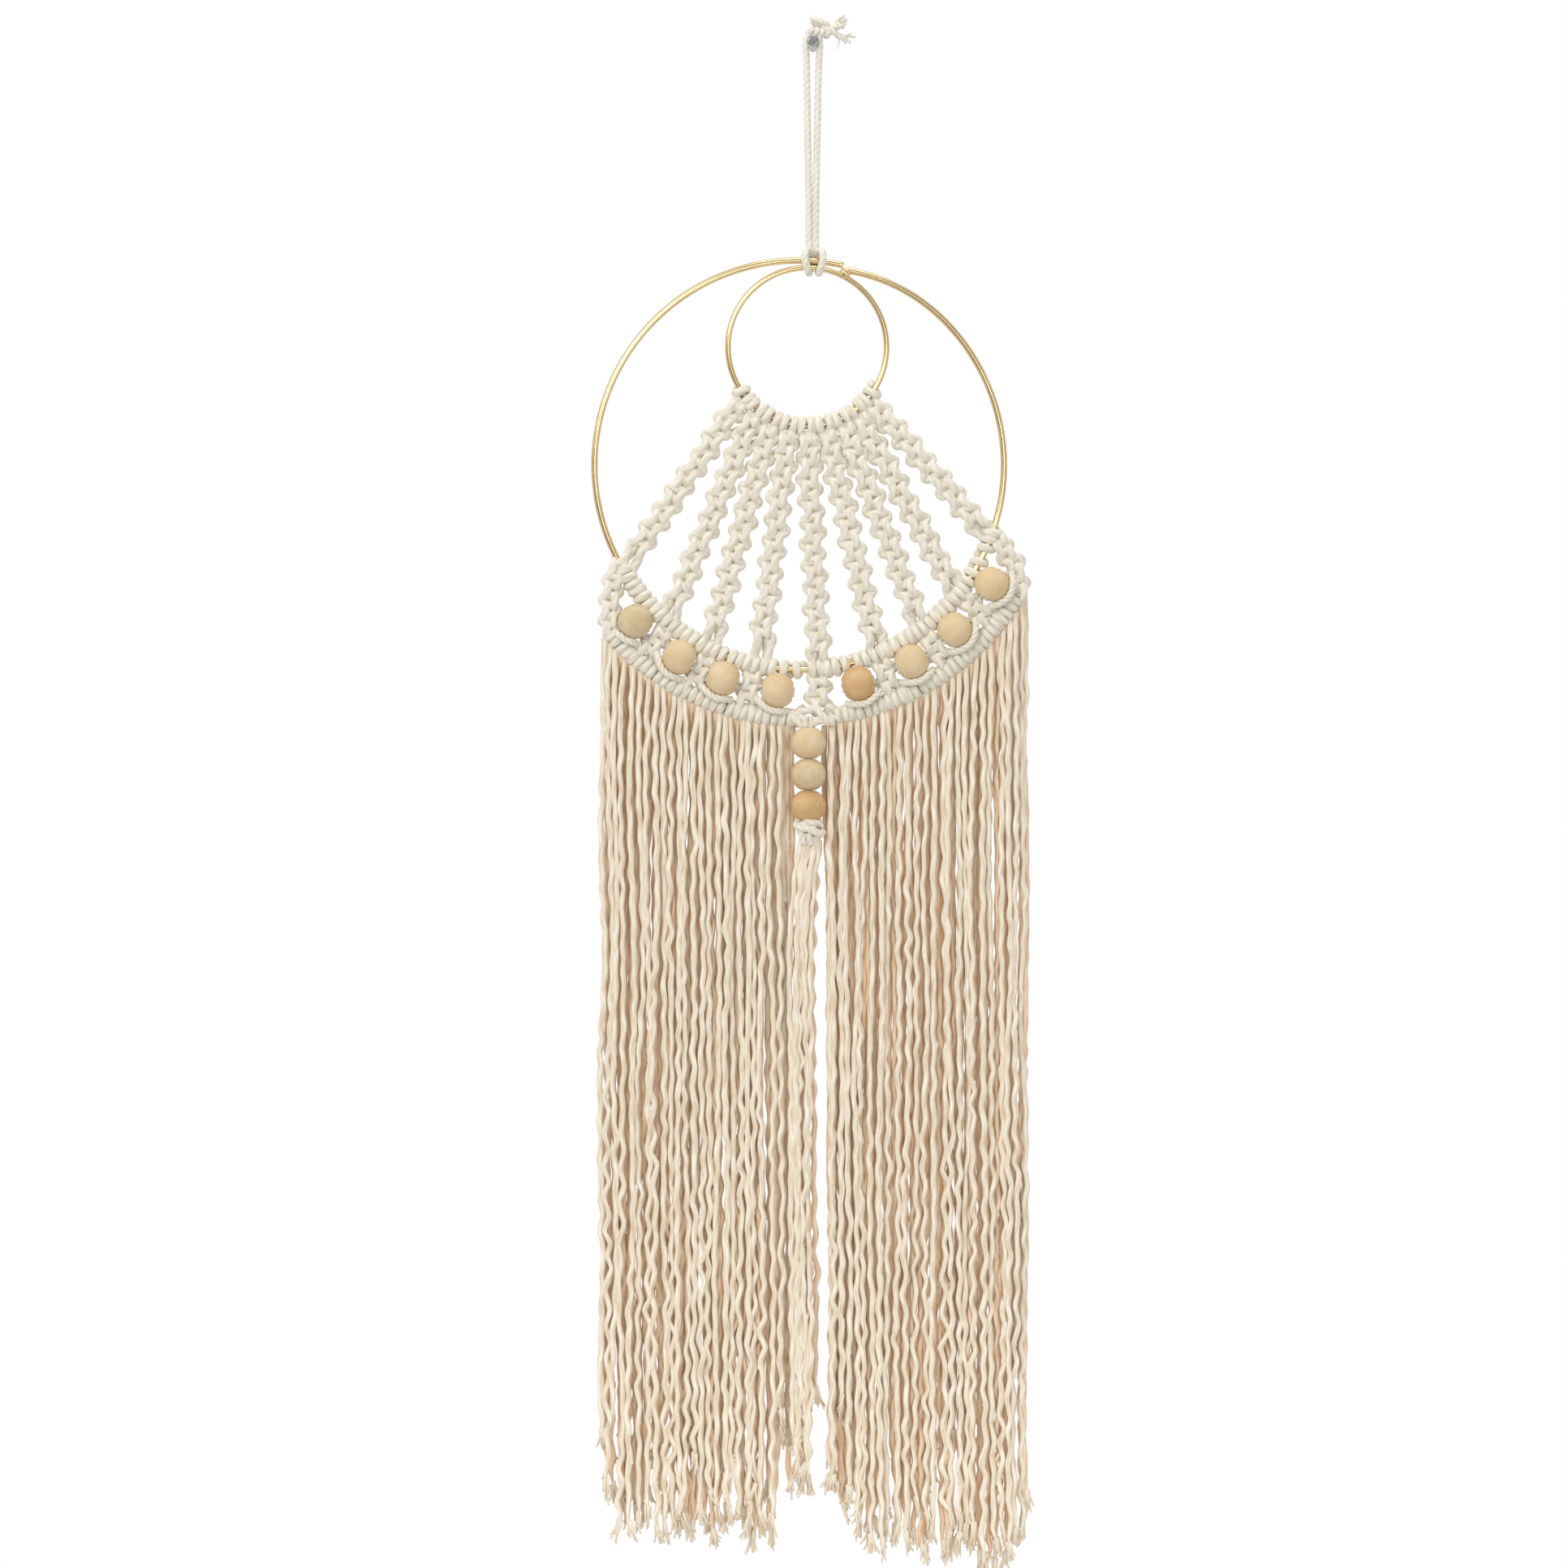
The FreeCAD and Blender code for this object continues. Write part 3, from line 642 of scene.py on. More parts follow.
# %% [markdown]
# The hanger is one cord: up from the lark's head on the rings, over the screw, and down
# again, tied off at the top. It is pulled tight by the hanging's weight, so its course is
# nearly straight, with one point just below the screw on each side to hold the bend's size.

# %% Hanger cord
HANGER_CORD = 1.75 * MM
ROPE_STEP = 0.8 * MM
ROPE_LAY = 9.5 * MM
ROPE_GROOVE = 0.26

hanger_route = np.array([
    (-2.1, -7.0, -99.25), (-2.0, -6.4, -84.0), (-2.2, -5.6, -66.0), (-2.8, -4.3, -36.0),
    (-3.1, -3.4, -10.0), (-3.8, -3.0, 3.6), (3.8, -3.0, 3.6), (2.6, -3.4, -10.0),
    (2.2, -4.3, -36.0), (1.5, -5.6, -66.0), (1.25, -6.4, -84.0), (1.35, -7.0, -99.25),
]) * MM
hanger_line = evenly(smooth_lines([hanger_route])[0], ROPE_STEP)
hanger_skein = Skein()
hanger_skein.lay(hanger_line, HANGER_CORD, sides=18, lay_length=ROPE_LAY, groove=ROPE_GROOVE)
hanger = hanger_skein.piece("hanger_rope", hanger_cotton, "hanger", "hanger_cord", ["hanger_loop"])
print(f"hanger cord: {run_lengths(hanger_line)[-1] / MM:.0f} mm")


# %% [markdown]
# The top is tied with a wrapped knot: the cord coils round itself along a short barrel, a
# bight stands above it, and the cut tails have frayed into tufts on the right. The barrel's
# turns are worked out as a helix, and the bight and the tails are drawn point by point. A
# frayed end is a brush of thin cords that start together and bend apart.

# %% Frayed ends and knots: helpers
ROOT_SPREAD = 0.4
FIBRE_REACH = (0.7, 1.0)
FIBRE_POINTS = 6
FIBRE_TIP = 0.5
KNOT_STEP = 0.5 * MM


def fray(skein, tip, direction, count, length, spread, thickness, seed, tint=1.0):
    """Loose fibres that open from a cut end like a brush."""
    draw = np.random.default_rng(seed)
    direction = np.array(direction, dtype=float)
    direction /= np.linalg.norm(direction)
    share = np.linspace(0, 1, FIBRE_POINTS)[:, None]
    for _ in range(count):
        start = tip + draw.normal(0, spread * ROOT_SPREAD, 3)
        bend = draw.normal(0, 1.0, 3) * spread
        reach = length * draw.uniform(*FIBRE_REACH)
        line = start + direction * reach * share + bend * share ** 2
        skein.lay(line, thickness * np.linspace(1, FIBRE_TIP, FIBRE_POINTS), tint=tint, sides=5,
                  ridges=1, groove=0.0)


def lay_routes(skein, routes, radius, step, **twist):
    """Lays a cord along each route, whose points are in mm."""
    for line in smooth_lines([np.array(route) * MM for route in routes]):
        skein.lay(evenly(line, step), radius, **twist)


print("helpers: frayed ends, cords along routes")


# %% Hanger knot
WRAP_TURNS = np.linspace(0, 2 * math.pi * 3.2, 30)
WRAP_START = (-0.9, -3.2, 4.9)
WRAP_RADIUS = 1.5
WRAP_ADVANCE = 0.43
WRAP_FALL = 0.045
WRAP_CORD = 1.55 * MM
wraps = [(WRAP_START[0] + WRAP_ADVANCE * turn,
          WRAP_START[1] - WRAP_RADIUS * math.cos(turn),
          WRAP_START[2] - WRAP_FALL * turn + WRAP_RADIUS * math.sin(turn)) for turn in WRAP_TURNS]
knot_routes = [
    [(-2.4, -2.6, 1.6), (-2.6, -2.4, 4.2), *wraps, (8.8, -3.0, 4.0), (10.4, -3.4, 6.6),
     (12.2, -3.2, 9.4)],
    [(7.0, -1.4, 4.6), (7.6, -3.4, 7.4), (5.4, -4.6, 9.0), (2.4, -4.6, 10.2), (0.2, -3.6, 11.4),
     (-0.6, -2.2, 9.8), (1.6, -1.6, 8.6), (4.4, -1.6, 7.8)],
    [(5.6, -4.6, 5.6), (8.4, -5.0, 5.8), (11.0, -4.2, 3.4), (13.4, -3.2, 2.0)],
]
knot_skein = Skein()
lay_routes(knot_skein, knot_routes, WRAP_CORD, KNOT_STEP, sides=16, lay_length=9 * MM, groove=ROPE_GROOVE)

# Each tuft: its tip, direction, number of fibres, (length, spread, thickness) in mm, seed and
# tint; a high tint leaves little painted shade on the fibres.
HANGER_TUFTS = (
    ((11.4, -3.2, 8.4), (1, 0, 0.75), 10, (4.8, 1.5, 0.95), 11, 1.6),
    ((12.6, -3.4, 2.6), (1, 0, -0.25), 10, (4.8, 1.5, 0.95), 12, 1.6),
    ((10.8, -4.2, 6.2), (1, -0.3, 0.25), 8, (4.8, 1.5, 0.95), 13, 1.6),
    ((12.4, -3.4, 1.6), (0.1, 0, -1), 2, (5.0, 0.6, 0.2), 17, 1.0),
)
for tip, direction, count, sizes, seed, tint in HANGER_TUFTS:
    fray(knot_skein, np.array(tip) * MM, direction, count, *(size * MM for size in sizes), seed, tint)
knot_skein.piece("hanger_overhand_knot", hanger_cotton, "hanger", "hanger_cord", ["hanger_knot"])


# %% [markdown]
# The lark's head at the bottom is the same cord doubled over both wires, with its bight
# behind. Its two halves mirror each other, so one course is drawn and turned over for the
# other. Only the first point differs, because it meets the hanger's other leg.

# %% Lark's head
LARK_CORD = 1.85 * MM
LARK_WIDTH = 0.8
lark_right = [(1.2, -7.0, -96.8), (1.4, -7.2, -99.8), (1.6, -4.8, -103.0), (2.0, -2.8, -107.2),
              (2.4, -3.8, -110.6), (2.8, -7.4, -112.0), (3.1, -11.2, -111.0), (4.4, -12.4, -107.6),
              (4.9, -12.2, -104.0), (4.4, -10.6, -101.4), (2.8, -7.4, -100.4), (0.6, -4.2, -101.6)]
lark_left = [(LARK_WIDTH - x, y, z) for x, y, z in lark_right]
lark_left[0] = (-2.2, -7.0, -97.0)
lark_skein = Skein()
lay_routes(lark_skein, (lark_right, lark_left), LARK_CORD, KNOT_STEP, sides=16, lay_length=ROPE_LAY,
           groove=0.24)
lark_skein.piece("larks_head_knot", hanger_cotton, "panel", "hanger_cord", ["larks_head"])


# %% [markdown]
# A row of hitches is cord wrapped round a wire. Each clove hitch makes two plump bars, side
# by side, and both lean the same way because the cord moves along as it goes round. One
# helix of nearly two turns per hitch gives both bars, and a little unevenness in its size
# keeps the row from looking machined.

# %% Hitches
HITCH_LAY = 20 * MM
HITCH_GROOVE = 0.13
HITCH_SQUARE = 0.65
HITCH_STEP = 0.7 * MM
HITCH_TURNS = np.radians(np.linspace(-150, 510, 56))
SINGLE_TURNS = HITCH_TURNS[:38] - math.radians(30)
UNEVEN_PLACE, UNEVEN_SWELL, UNEVEN_CORD = 0.06, 0.035, 0.03


def hitch_row(skein, centre, radius, span, bar_width, across, depth, cord_radius, hand, seed):
    """Clove hitches over a stretch of wire, two bars each."""
    draw = np.random.default_rng(seed)
    bars = max(1, round(math.radians(span[1] - span[0]) * radius / bar_width))
    width = (span[1] - span[0]) / bars
    for first in range(0, bars, 2):
        turns = SINGLE_TURNS if first + 1 == bars else HITCH_TURNS
        middle = span[0] + (first + 0.5) * width
        onward = (turns - HITCH_SQUARE * np.sin(turns)) / (2 * math.pi)
        angle = np.radians(middle + (draw.normal(0, UNEVEN_PLACE) + onward) * width)
        swell = 1 + draw.normal(0, UNEVEN_SWELL)
        reach = radius + hand * across * swell * np.sin(turns)
        line = np.stack([centre[0] + reach * np.sin(angle),
                         RING_PLANE - depth * swell * np.cos(turns),
                         centre[2] - reach * np.cos(angle)], axis=1)
        skein.lay(evenly(line, HITCH_STEP), cord_radius * (1 + draw.normal(0, UNEVEN_CORD)), sides=14,
                  lay_length=HITCH_LAY, groove=HITCH_GROOVE, phase=draw.uniform(0, 6))


HEAD_KNOTS = ((-55.8, 3.4), (-46.0, 4.7), (-33.0, 5.6), (-20.0, 5.6), (-7.0, 5.6),
              (6.0, 5.6), (19.0, 5.6), (31.5, 5.4), (44.0, 4.9), (54.3, 3.4))
RING_HITCHES = {
    "left": ((-62.7, -6.6),),
    "centre": ((-5.5, -3.3), (-2.1, 0.1), (2.3, 13.9)),
    "right": ((15.4, 59.2), (60.4, 62.6), (64.4, 72.2)),
}
# Each row of bars: the bars' spacing, their reach across the wire and before it, and the cord.
HEAD_BARS = (3.7 * MM, 2.8 * MM, 2.8 * MM, 2.0 * MM)
RING_BARS = (4.0 * MM, 2.8 * MM, 2.8 * MM, 2.1 * MM)
HAND_CHANGE = -3

head_skein = Skein()
for number, (angle, half) in enumerate(HEAD_KNOTS):
    hitch_row(head_skein, SMALL_CENTRE, SMALL_RADIUS, (angle - half, angle + half), *HEAD_BARS,
              -1 if angle < 0 else 1, 100 + number)
head_skein.knotwork("head_knot_wraps", ["head_knots"])

for side, spans in RING_HITCHES.items():
    skein = Skein()
    for number, span in enumerate(spans):
        hitch_row(skein, LARGE_CENTRE, LARGE_RADIUS, span, *RING_BARS,
                  1 if span[0] > HAND_CHANGE else -1, 200 + number)
    skein.knotwork(f"ring_hitch_wraps_{side}", [f"ring_hitches_{side}"])


# %% [markdown]
# Each long sinnet is a chain of square knots on four cords. Two cords run straight down the
# middle. The front cord crosses from side to side over them and turns round at each edge, so
# it makes the bumps. The rear cord crosses behind, comes up at the other edge and runs down
# over the front cord as a short upright bar. Their control points repeat with every knot.

# %% Square knots: the four cords
SWING = 0.8


def square_knots(count, pitch, width=1.0, jitter=0.2, seed=0, lead=0.9, legs=0.0, leg_spread=3.3):
    """The control points of a chain's four cords, as across, depth and down in mm."""
    draw = np.random.default_rng(seed)
    front = [(-2.4, 0.2, -lead * pitch), (-2.5, -0.6, -0.5 * pitch)]
    rear = [(2.4, 0.2, -lead * pitch), (2.4, -2.6, -0.3 * pitch), (2.3, -2.9, 0.0),
            (2.2, -0.9, 0.3 * pitch), (1.2, 2.4, 0.22 * pitch), (-1.2, 2.4, -0.22 * pitch),
            (-2.2, -0.9, -0.3 * pitch)]
    for knot in range(count):
        hand = 1 if knot % 2 == 0 else -1
        start = knot * pitch
        front += [(-2.6 * hand, -1.6, start - 0.12 * pitch), (0, -2.5, start),
                  (2.6 * hand, -1.8, start + 0.12 * pitch), (4.1 * hand, -0.7, start + 0.34 * pitch),
                  (4.1 * hand, -0.4, start + 0.66 * pitch)]
        rear += [(-2.3 * hand, -3.0, start), (-2.7 * hand, -3.3, start + 0.5 * pitch),
                 (-2.3 * hand, -3.0, start + pitch)]
        if knot < count - 1:
            rear += [(-2.2 * hand, -0.9, start + 1.3 * pitch), (-1.2 * hand, 2.4, start + 1.22 * pitch),
                     (1.2 * hand, 2.4, start + 0.78 * pitch), (2.2 * hand, -0.9, start + 0.7 * pitch)]
    end = count * pitch
    last = 1 if (count - 1) % 2 == 0 else -1
    core = [[(side * 1.3, -0.2, -lead * pitch), (side * 1.3, -0.4, 0.3 * end),
             (side * 1.3, -0.4, 0.6 * end), (side * 1.3, -0.2, end - 0.6 * pitch)] for side in (-1, 1)]
    if legs:
        front += [(3.0 * last, -0.6, end + 0.4 * legs), (leg_spread * last, -0.4, end + legs)]
        rear += [(-3.0 * last, -0.8, end + 0.5 * legs), (-leg_spread * last, -0.4, end + legs)]
        for side, cord in zip((-1, 1), core):
            cord += [(side * 2.4, 0.9, end + 0.35 * legs), (side * leg_spread, 1.6, end + legs)]
    else:
        front += [(1.6 * last, 0.4, end + 0.1 * pitch)]
        rear += [(-1.8 * last, 0.6, end + 0.2 * pitch)]
    cords = []
    for cord in (front, rear, *core):
        points = np.array(cord, dtype=float) + draw.normal(0, jitter, (len(cord), 3))
        points[:, 0] += SWING * np.sin(np.clip(points[:, 2] / pitch, 0, count) * math.pi)
        cords.append(points * (width, 1, 1))
    return cords


print("square knots: four cords, bend by bend")


# %% Square knots: laying a chain
SINNET_CORD = 2.15 * MM
CORE_CORD = 2.1 * MM
CHAIN_STEP = 0.75 * MM
CHAIN_LAY = (15, 20)


def place_chain(cords, course):
    """Chain points, put along a line in front of the wall."""
    along = run_lengths(course) / MM
    placed = []
    for cord in cords:
        down = np.clip(cord[:, 2], 0.01, along[-1] - 0.01)
        middle = np.stack([np.interp(down, along, course[:, axis]) for axis in range(3)], axis=1)
        span = np.clip(np.searchsorted(along, down), 1, len(along) - 1)
        ahead = course[span] - course[span - 1]
        ahead /= np.linalg.norm(ahead, axis=1)[:, None]
        middle += ahead * (cord[:, 2] - down)[:, None] * MM
        across = np.stack([-ahead[:, 2], np.zeros(len(ahead)), ahead[:, 0]], axis=1)
        placed.append(middle + MM * (cord[:, :1] * across + cord[:, 1:2] * np.array((0, 1, 0))))
    return placed


def lay_chain(skein, cords, radius, core_radius, seed):
    """Lays a chain's four cords into a skein."""
    draw = np.random.default_rng(seed)
    for number, line in enumerate(smooth_lines(cords)):
        thick = radius if number < 2 else core_radius
        skein.lay(evenly(line, CHAIN_STEP), thick * (1 + draw.normal(0, 0.02)), sides=12,
                  lay_length=draw.uniform(*CHAIN_LAY) * MM, phase=draw.uniform(0, 6), groove=0.15)


print("chains: placed along a line, then laid")


# %% Long sinnets
SINNETS = ((-51.5, -59.5), (-38.6, -40.3), (-25.6, -26.4), (-12.7, -11.5), (0.2, 5.7),
           (13.1, 22.7), (25.6, 37.0), (37.4, 50.8), (49.0, 69.8))
WRAP_REACH = 4.1 * MM
KNOT_PITCH = 5.3
SINNET_LEAD = 4.6
SINNET_DRIFT, DRIFT_RATE = 0.35, 0.21
LEG_LENGTHS = (8.0, 6.0, 7.0, 9.0, 3.5, 4.5, 5.0, 4.0, 5.0)

for number, ((top, foot), legs) in enumerate(zip(SINNETS, LEG_LENGTHS), 1):
    start = on_ring(SMALL_CENTRE, SMALL_RADIUS + WRAP_REACH * 0.6, top)
    end = on_ring(LARGE_CENTRE, LARGE_RADIUS - WRAP_REACH * 0.5, foot)
    knotted = np.linalg.norm(end - start) / MM - SINNET_LEAD - legs
    count = round(knotted / KNOT_PITCH)
    pitch = knotted / count
    cords = square_knots(count, pitch, seed=300 + number, lead=SINNET_LEAD / pitch, legs=legs)
    for cord in cords:
        cord[:, 2] += SINNET_LEAD
        cord[:, 0] += SINNET_DRIFT * np.sin(cord[:, 2] * DRIFT_RATE + number)
    skein = Skein()
    lay_chain(skein, place_chain(cords, np.array((start, end))), SINNET_CORD, CORE_CORD, 400 + number)
    skein.knotwork(f"sinnet_cords_{number}", [f"sinnet_{number}"])


# %% [markdown]
# Short sinnets hang between the beads. They are the same chain, pulled tighter, and they
# stand a little behind the beads, which press them in at both sides. The outermost two run
# down beside the end beads, so each follows its own upright box.

# %% Short sinnets
ROW_RADIUS = LARGE_RADIUS + 23.1 * MM
ROW_REACH = 4.0 * MM
BEAD_PLACES = [middle_of(f"bead_{number}") for number in range(1, 9)]
SHORT_DEPTH = 0.4
SHORT_LEAD = 0.9
SHORT_CORD = 2.05 * MM
SHORT_PITCH, EDGE_PITCH = 4.7, 5.0
SHORT_WIDTHS = (1.12, 1.12, 1.12, 1.2, 1.12, 1.12, 1.12)
EDGE_WIDTH = 0.88


def ring_angle(place):
    """A point's angle from straight down, seen from the large ring's centre."""
    return math.degrees(math.atan2(place[0] - LARGE_CENTRE[0], LARGE_CENTRE[2] - place[2]))


BEAD_ANGLES = [ring_angle(place) for place in BEAD_PLACES]


def short_sinnet(number, course, width, pitch):
    """A short chain from the ring's hitches to the lower row."""
    length = run_lengths(course)[-1] / MM
    count = max(2, round(length / pitch) - 1)
    step = length / (count + 1)
    cords = square_knots(count, step, width=width, seed=500 + number, jitter=0.3)
    for cord in cords:
        cord[:, 2] += SHORT_LEAD * step
        cord[:, 1] += SHORT_DEPTH
    skein = Skein()
    lay_chain(skein, place_chain(cords, course), SHORT_CORD, SHORT_CORD, 520 + number)
    skein.knotwork(f"short_sinnet_cords_{number}", [f"short_sinnet_{number}"])


for gap, width in enumerate(SHORT_WIDTHS):
    angle = (BEAD_ANGLES[gap] + BEAD_ANGLES[gap + 1]) / 2
    inner = on_ring(LARGE_CENTRE, LARGE_RADIUS + 0.5 * WRAP_REACH, angle)
    outer = on_ring(LARGE_CENTRE, ROW_RADIUS - 0.6 * ROW_REACH, angle)
    short_sinnet(gap + 2, np.array((inner, outer)), width, SHORT_PITCH)

EDGE_COURSES = {
    1: ((-92.6, -249.0), (-95.6, -258.0), (-97.4, -268.0), (-98.0, -277.0), (-97.4, -286.0)),
    9: ((88.0, -237.5), (91.5, -245.5), (96.6, -250.8), (98.6, -259.0), (99.0, -268.5)),
}
for number, course in EDGE_COURSES.items():
    line = smooth_lines([[(x * MM, RING_PLANE, z * MM) for x, z in course]])[0]
    short_sinnet(number, line, EDGE_WIDTH, EDGE_PITCH)


# %% [markdown]
# The lower row is hitched the same way, but round a taut holding cord instead of a wire. It
# carries the fringe.

# %% Lower rows
ROW_SPANS = {"left": (-48.4, 0.6), "right": (7.9, 58.8)}
ROW_BARS = (3.65 * MM, 2.7 * MM, 2.8 * MM, 2.0 * MM)
HOLDING_CORD = 1.7 * MM

for side, span in ROW_SPANS.items():
    skein = Skein()
    core = np.array([on_ring(LARGE_CENTRE, ROW_RADIUS, angle) for angle in np.linspace(*span, 80)])
    skein.lay(core, HOLDING_CORD)
    hitch_row(skein, LARGE_CENTRE, ROW_RADIUS, span, *ROW_BARS, -1 if side == "left" else 1,
              600 + len(side))
    skein.knotwork(f"lower_row_wraps_{side}", [f"lower_row_{side}", f"holding_cord_{side}"])


# %% [markdown]
# The beads are turned balls with a flat and a bore at each end. Half of the outline is drawn
# once, from the bore's lip over the ball to the other lip, and spun round the bore's axis.
# A painted attribute gives each bead its own wood directions, so no two show the same grain.

# %% Beads
BEAD_RADIUS = 8.5 * MM
BEAD_HALF = 7.4 * MM
BORE_RADIUS = 3.0 * MM
LIP = 0.35 * MM
DROP_SWELL = 8.0 * MM
BEAD_STEPS = 56
BEAD_ARC = 22
GRAIN_LEAN, GRAIN_TURN = 0.35, 0.45
PITH_AWAY, PITH_ASIDE, PITH_ALONG = (15, 24), (-5, 5), (-40, 40)


def turned_bead(name, centre, axis, material, slot_name, body, node, seed, swell=BEAD_RADIUS):
    """A turned wooden ball on its own body."""
    latitude = math.asin(BEAD_HALF / swell)
    outline = [(BORE_RADIUS, LIP - BEAD_HALF), (BORE_RADIUS + LIP, -BEAD_HALF)]
    outline += [(BEAD_RADIUS * math.cos(turn), swell * math.sin(turn))
                for turn in np.linspace(-latitude, latitude, BEAD_ARC)]
    outline += [(BORE_RADIUS + LIP, BEAD_HALF), (BORE_RADIUS, BEAD_HALF - LIP)]
    mesh = bmesh.new()
    verts = [mesh.verts.new((reach, 0, along)) for reach, along in outline]
    edges = [mesh.edges.new(pair) for pair in zip(verts, verts[1:] + verts[:1])]
    bmesh.ops.spin(mesh, geom=verts + edges, cent=(0, 0, 0), axis=(0, 0, 1), angle=math.radians(360),
                   steps=BEAD_STEPS, use_merge=True)
    draw = np.random.default_rng(seed)
    grain = mesh.verts.layers.float_vector.new("grain")
    tilt = Matrix.Rotation(draw.uniform(-GRAIN_LEAN, GRAIN_LEAN), 3, "X")
    tilt = tilt @ Matrix.Rotation(draw.uniform(-GRAIN_TURN, GRAIN_TURN), 3, "Z")
    offset = Vector([draw.uniform(*span) for span in (PITH_AWAY, PITH_ASIDE, PITH_ALONG)])
    for vert in mesh.verts:
        vert[grain] = tilt @ (vert.co / MM) + offset
    turn = Vector((0, 0, 1)).rotation_difference(Vector(axis)).to_matrix().to_4x4()
    mesh.transform(Matrix.Translation(Vector(centre)) @ turn)
    finished(mesh, name, material, body, [node], sharp=30.0)


BEAD_WOODS = {"pale": (wood_pale, "wood_pale"), "tan": (wood_tan, "wood_tan"),
              "olive": (wood_olive, "wood_olive")}
ROW_WOODS = ("olive", "pale", "pale", "pale", "tan", "pale", "pale", "pale")
DROP_WOODS = ("pale", "olive", "tan")

for number, (place, angle, kind) in enumerate(zip(BEAD_PLACES, BEAD_ANGLES, ROW_WOODS), 1):
    turn = math.radians(angle)
    turned_bead(f"row_bead_{number}", place, (math.cos(turn), 0, math.sin(turn)), *BEAD_WOODS[kind],
                f"bead_{number}_body", f"bead_{number}", 40 + number)
for number, kind in enumerate(DROP_WOODS, 1):
    turned_bead(f"hung_bead_{number}", middle_of(f"drop_bead_{number}"), (0, 0, 1), *BEAD_WOODS[kind],
                f"drop_bead_{number}_body", f"drop_bead_{number}", 60 + number, swell=DROP_SWELL)


# %% [markdown]
# Two cords run through every row bead. One more leaves the sinnet on the bead's outer side,
# passes under the bead, close against it, and goes into the lower row. It shows its twist
# well, because nothing is knotted over it. Its ends swing out and back, into the knots.

# %% Cords round the beads
THROUGH_CORD = 1.2 * MM
THROUGH_REACH = 8.2 * MM
TIGHT_LAY = 9 * MM
TIED_STEP = 0.6 * MM
UNDER_CORD = 1.8 * MM
UNDER_DEPTH = 2.8
UNDER_SPANS = ((205, 276), (163, 280), (196, 292), (198, 296),
               (196, 300), (200, 296), (150, 282), (148, 280))
UNDER_REACH, UNDER_FLARE = 9.9, 1.2
UNDER_DIP = 4.0
UNDER_POINTS = 9


def under_course(place, span, hand):
    """The points of a cord that passes under a bead, over a span of degrees."""
    course = []
    for share in np.linspace(0, 1, UNDER_POINTS):
        spot = math.radians(span[0] + (span[1] - span[0]) * share)
        ending = max(0.0, abs(share - 0.5) - 0.3) / 0.2
        far = (UNDER_REACH + UNDER_FLARE * ending) * MM
        back = (UNDER_DIP * ending - UNDER_DEPTH) * MM
        course.append(place + np.array((-hand * far * math.cos(spot), back, far * math.sin(spot))))
    return np.array(course)


for side, hand, indices in (("left", -1, range(4)), ("right", 1, range(4, 8))):
    skein = Skein()
    for index in indices:
        turn = math.radians(BEAD_ANGLES[index])
        along = np.array((math.cos(turn), 0, math.sin(turn)))
        outwards = np.array((math.sin(turn), 0, -math.cos(turn)))
        for shift in (-THROUGH_CORD, THROUGH_CORD):
            line = np.array([BEAD_PLACES[index] + outwards * shift + along * reach
                             for reach in np.linspace(-THROUGH_REACH, THROUGH_REACH, 30)])
            skein.lay(line, THROUGH_CORD, lay_length=TIGHT_LAY)
    under = [under_course(BEAD_PLACES[index], UNDER_SPANS[index], hand) for index in indices]
    for line in smooth_lines(under):
        skein.lay(evenly(line, TIED_STEP), UNDER_CORD, sides=14, lay_length=TIGHT_LAY,
                  groove=ROPE_GROOVE)
    skein.knotwork(f"bead_cord_pairs_{side}", [f"bead_cords_{side}"])


# %% [markdown]
# In the middle the two lower rows meet. Their cords cross once and go down together through
# the drop's beads, and a dark gap stays between them.

# %% Crossing above the drop
TIED_CORD = 1.85 * MM

crossing_routes = [
    [(-12.0, -8.0, -325.5), (-8.0, -10.5, -323.0), (-3.5, -11.2, -321.9), (0.8, -10.4, -321.4),
     (3.2, -8.0, -318.6), (3.6, -6.0, -315.5)],
    [(-4.6, -5.2, -320.6), (-7.6, -8.6, -322.2), (-9.2, -10.6, -325.2), (-7.2, -11.0, -327.8),
     (-4.4, -10.8, -329.6)],
    [(-11.0, -7.0, -328.6), (-7.4, -11.2, -325.4), (-4.4, -11.4, -325.6), (-3.6, -10.8, -327.8),
     (-3.4, -10.5, -330.0)],
    [(-1.2, -10.5, -330.0), (-0.4, -10.9, -328.2), (2.6, -11.4, -327.0), (5.6, -11.0, -326.6),
     (9.4, -8.6, -325.4), (12.4, -7.2, -324.6)],
    [(3.0, -6.0, -314.5), (1.2, -9.8, -318.6), (2.4, -11.8, -322.4), (5.4, -12.4, -325.6),
     (7.6, -11.6, -328.0), (9.4, -9.2, -327.6), (8.6, -7.2, -323.6), (6.4, -9.2, -320.4),
     (9.2, -9.8, -320.0), (12.0, -7.4, -322.6)],
]
crossing = Skein()
lay_routes(crossing, crossing_routes, TIED_CORD, TIED_STEP, sides=14, lay_length=12 * MM)
crossing.knotwork("row_crossing_cords", ["row_join"])


# %% [markdown]
# Four cords hang through the drop's beads. Below the last bead they are tied in an overhand
# knot, which holds the beads.

# %% Drop cord and its knot
DROP_MIDDLE = middle_of("drop_cord")
drop_low, drop_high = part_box("drop_cord")
DROP_OVERRUN = 1.0 * MM
drop_skein = Skein()
for across, back in ((-1, -1), (1, -1), (-1, 1), (1, 1)):
    heights = np.linspace(drop_high[2], drop_low[2] - DROP_OVERRUN, 50)
    x = DROP_MIDDLE[0] + across * THROUGH_CORD
    y = DROP_MIDDLE[1] + back * THROUGH_CORD
    drop_skein.lay(np.array([(x, y, height) for height in heights]), THROUGH_CORD, lay_length=TIGHT_LAY)
drop_skein.knotwork("drop_cord_strands", ["drop_cord"], "drop")

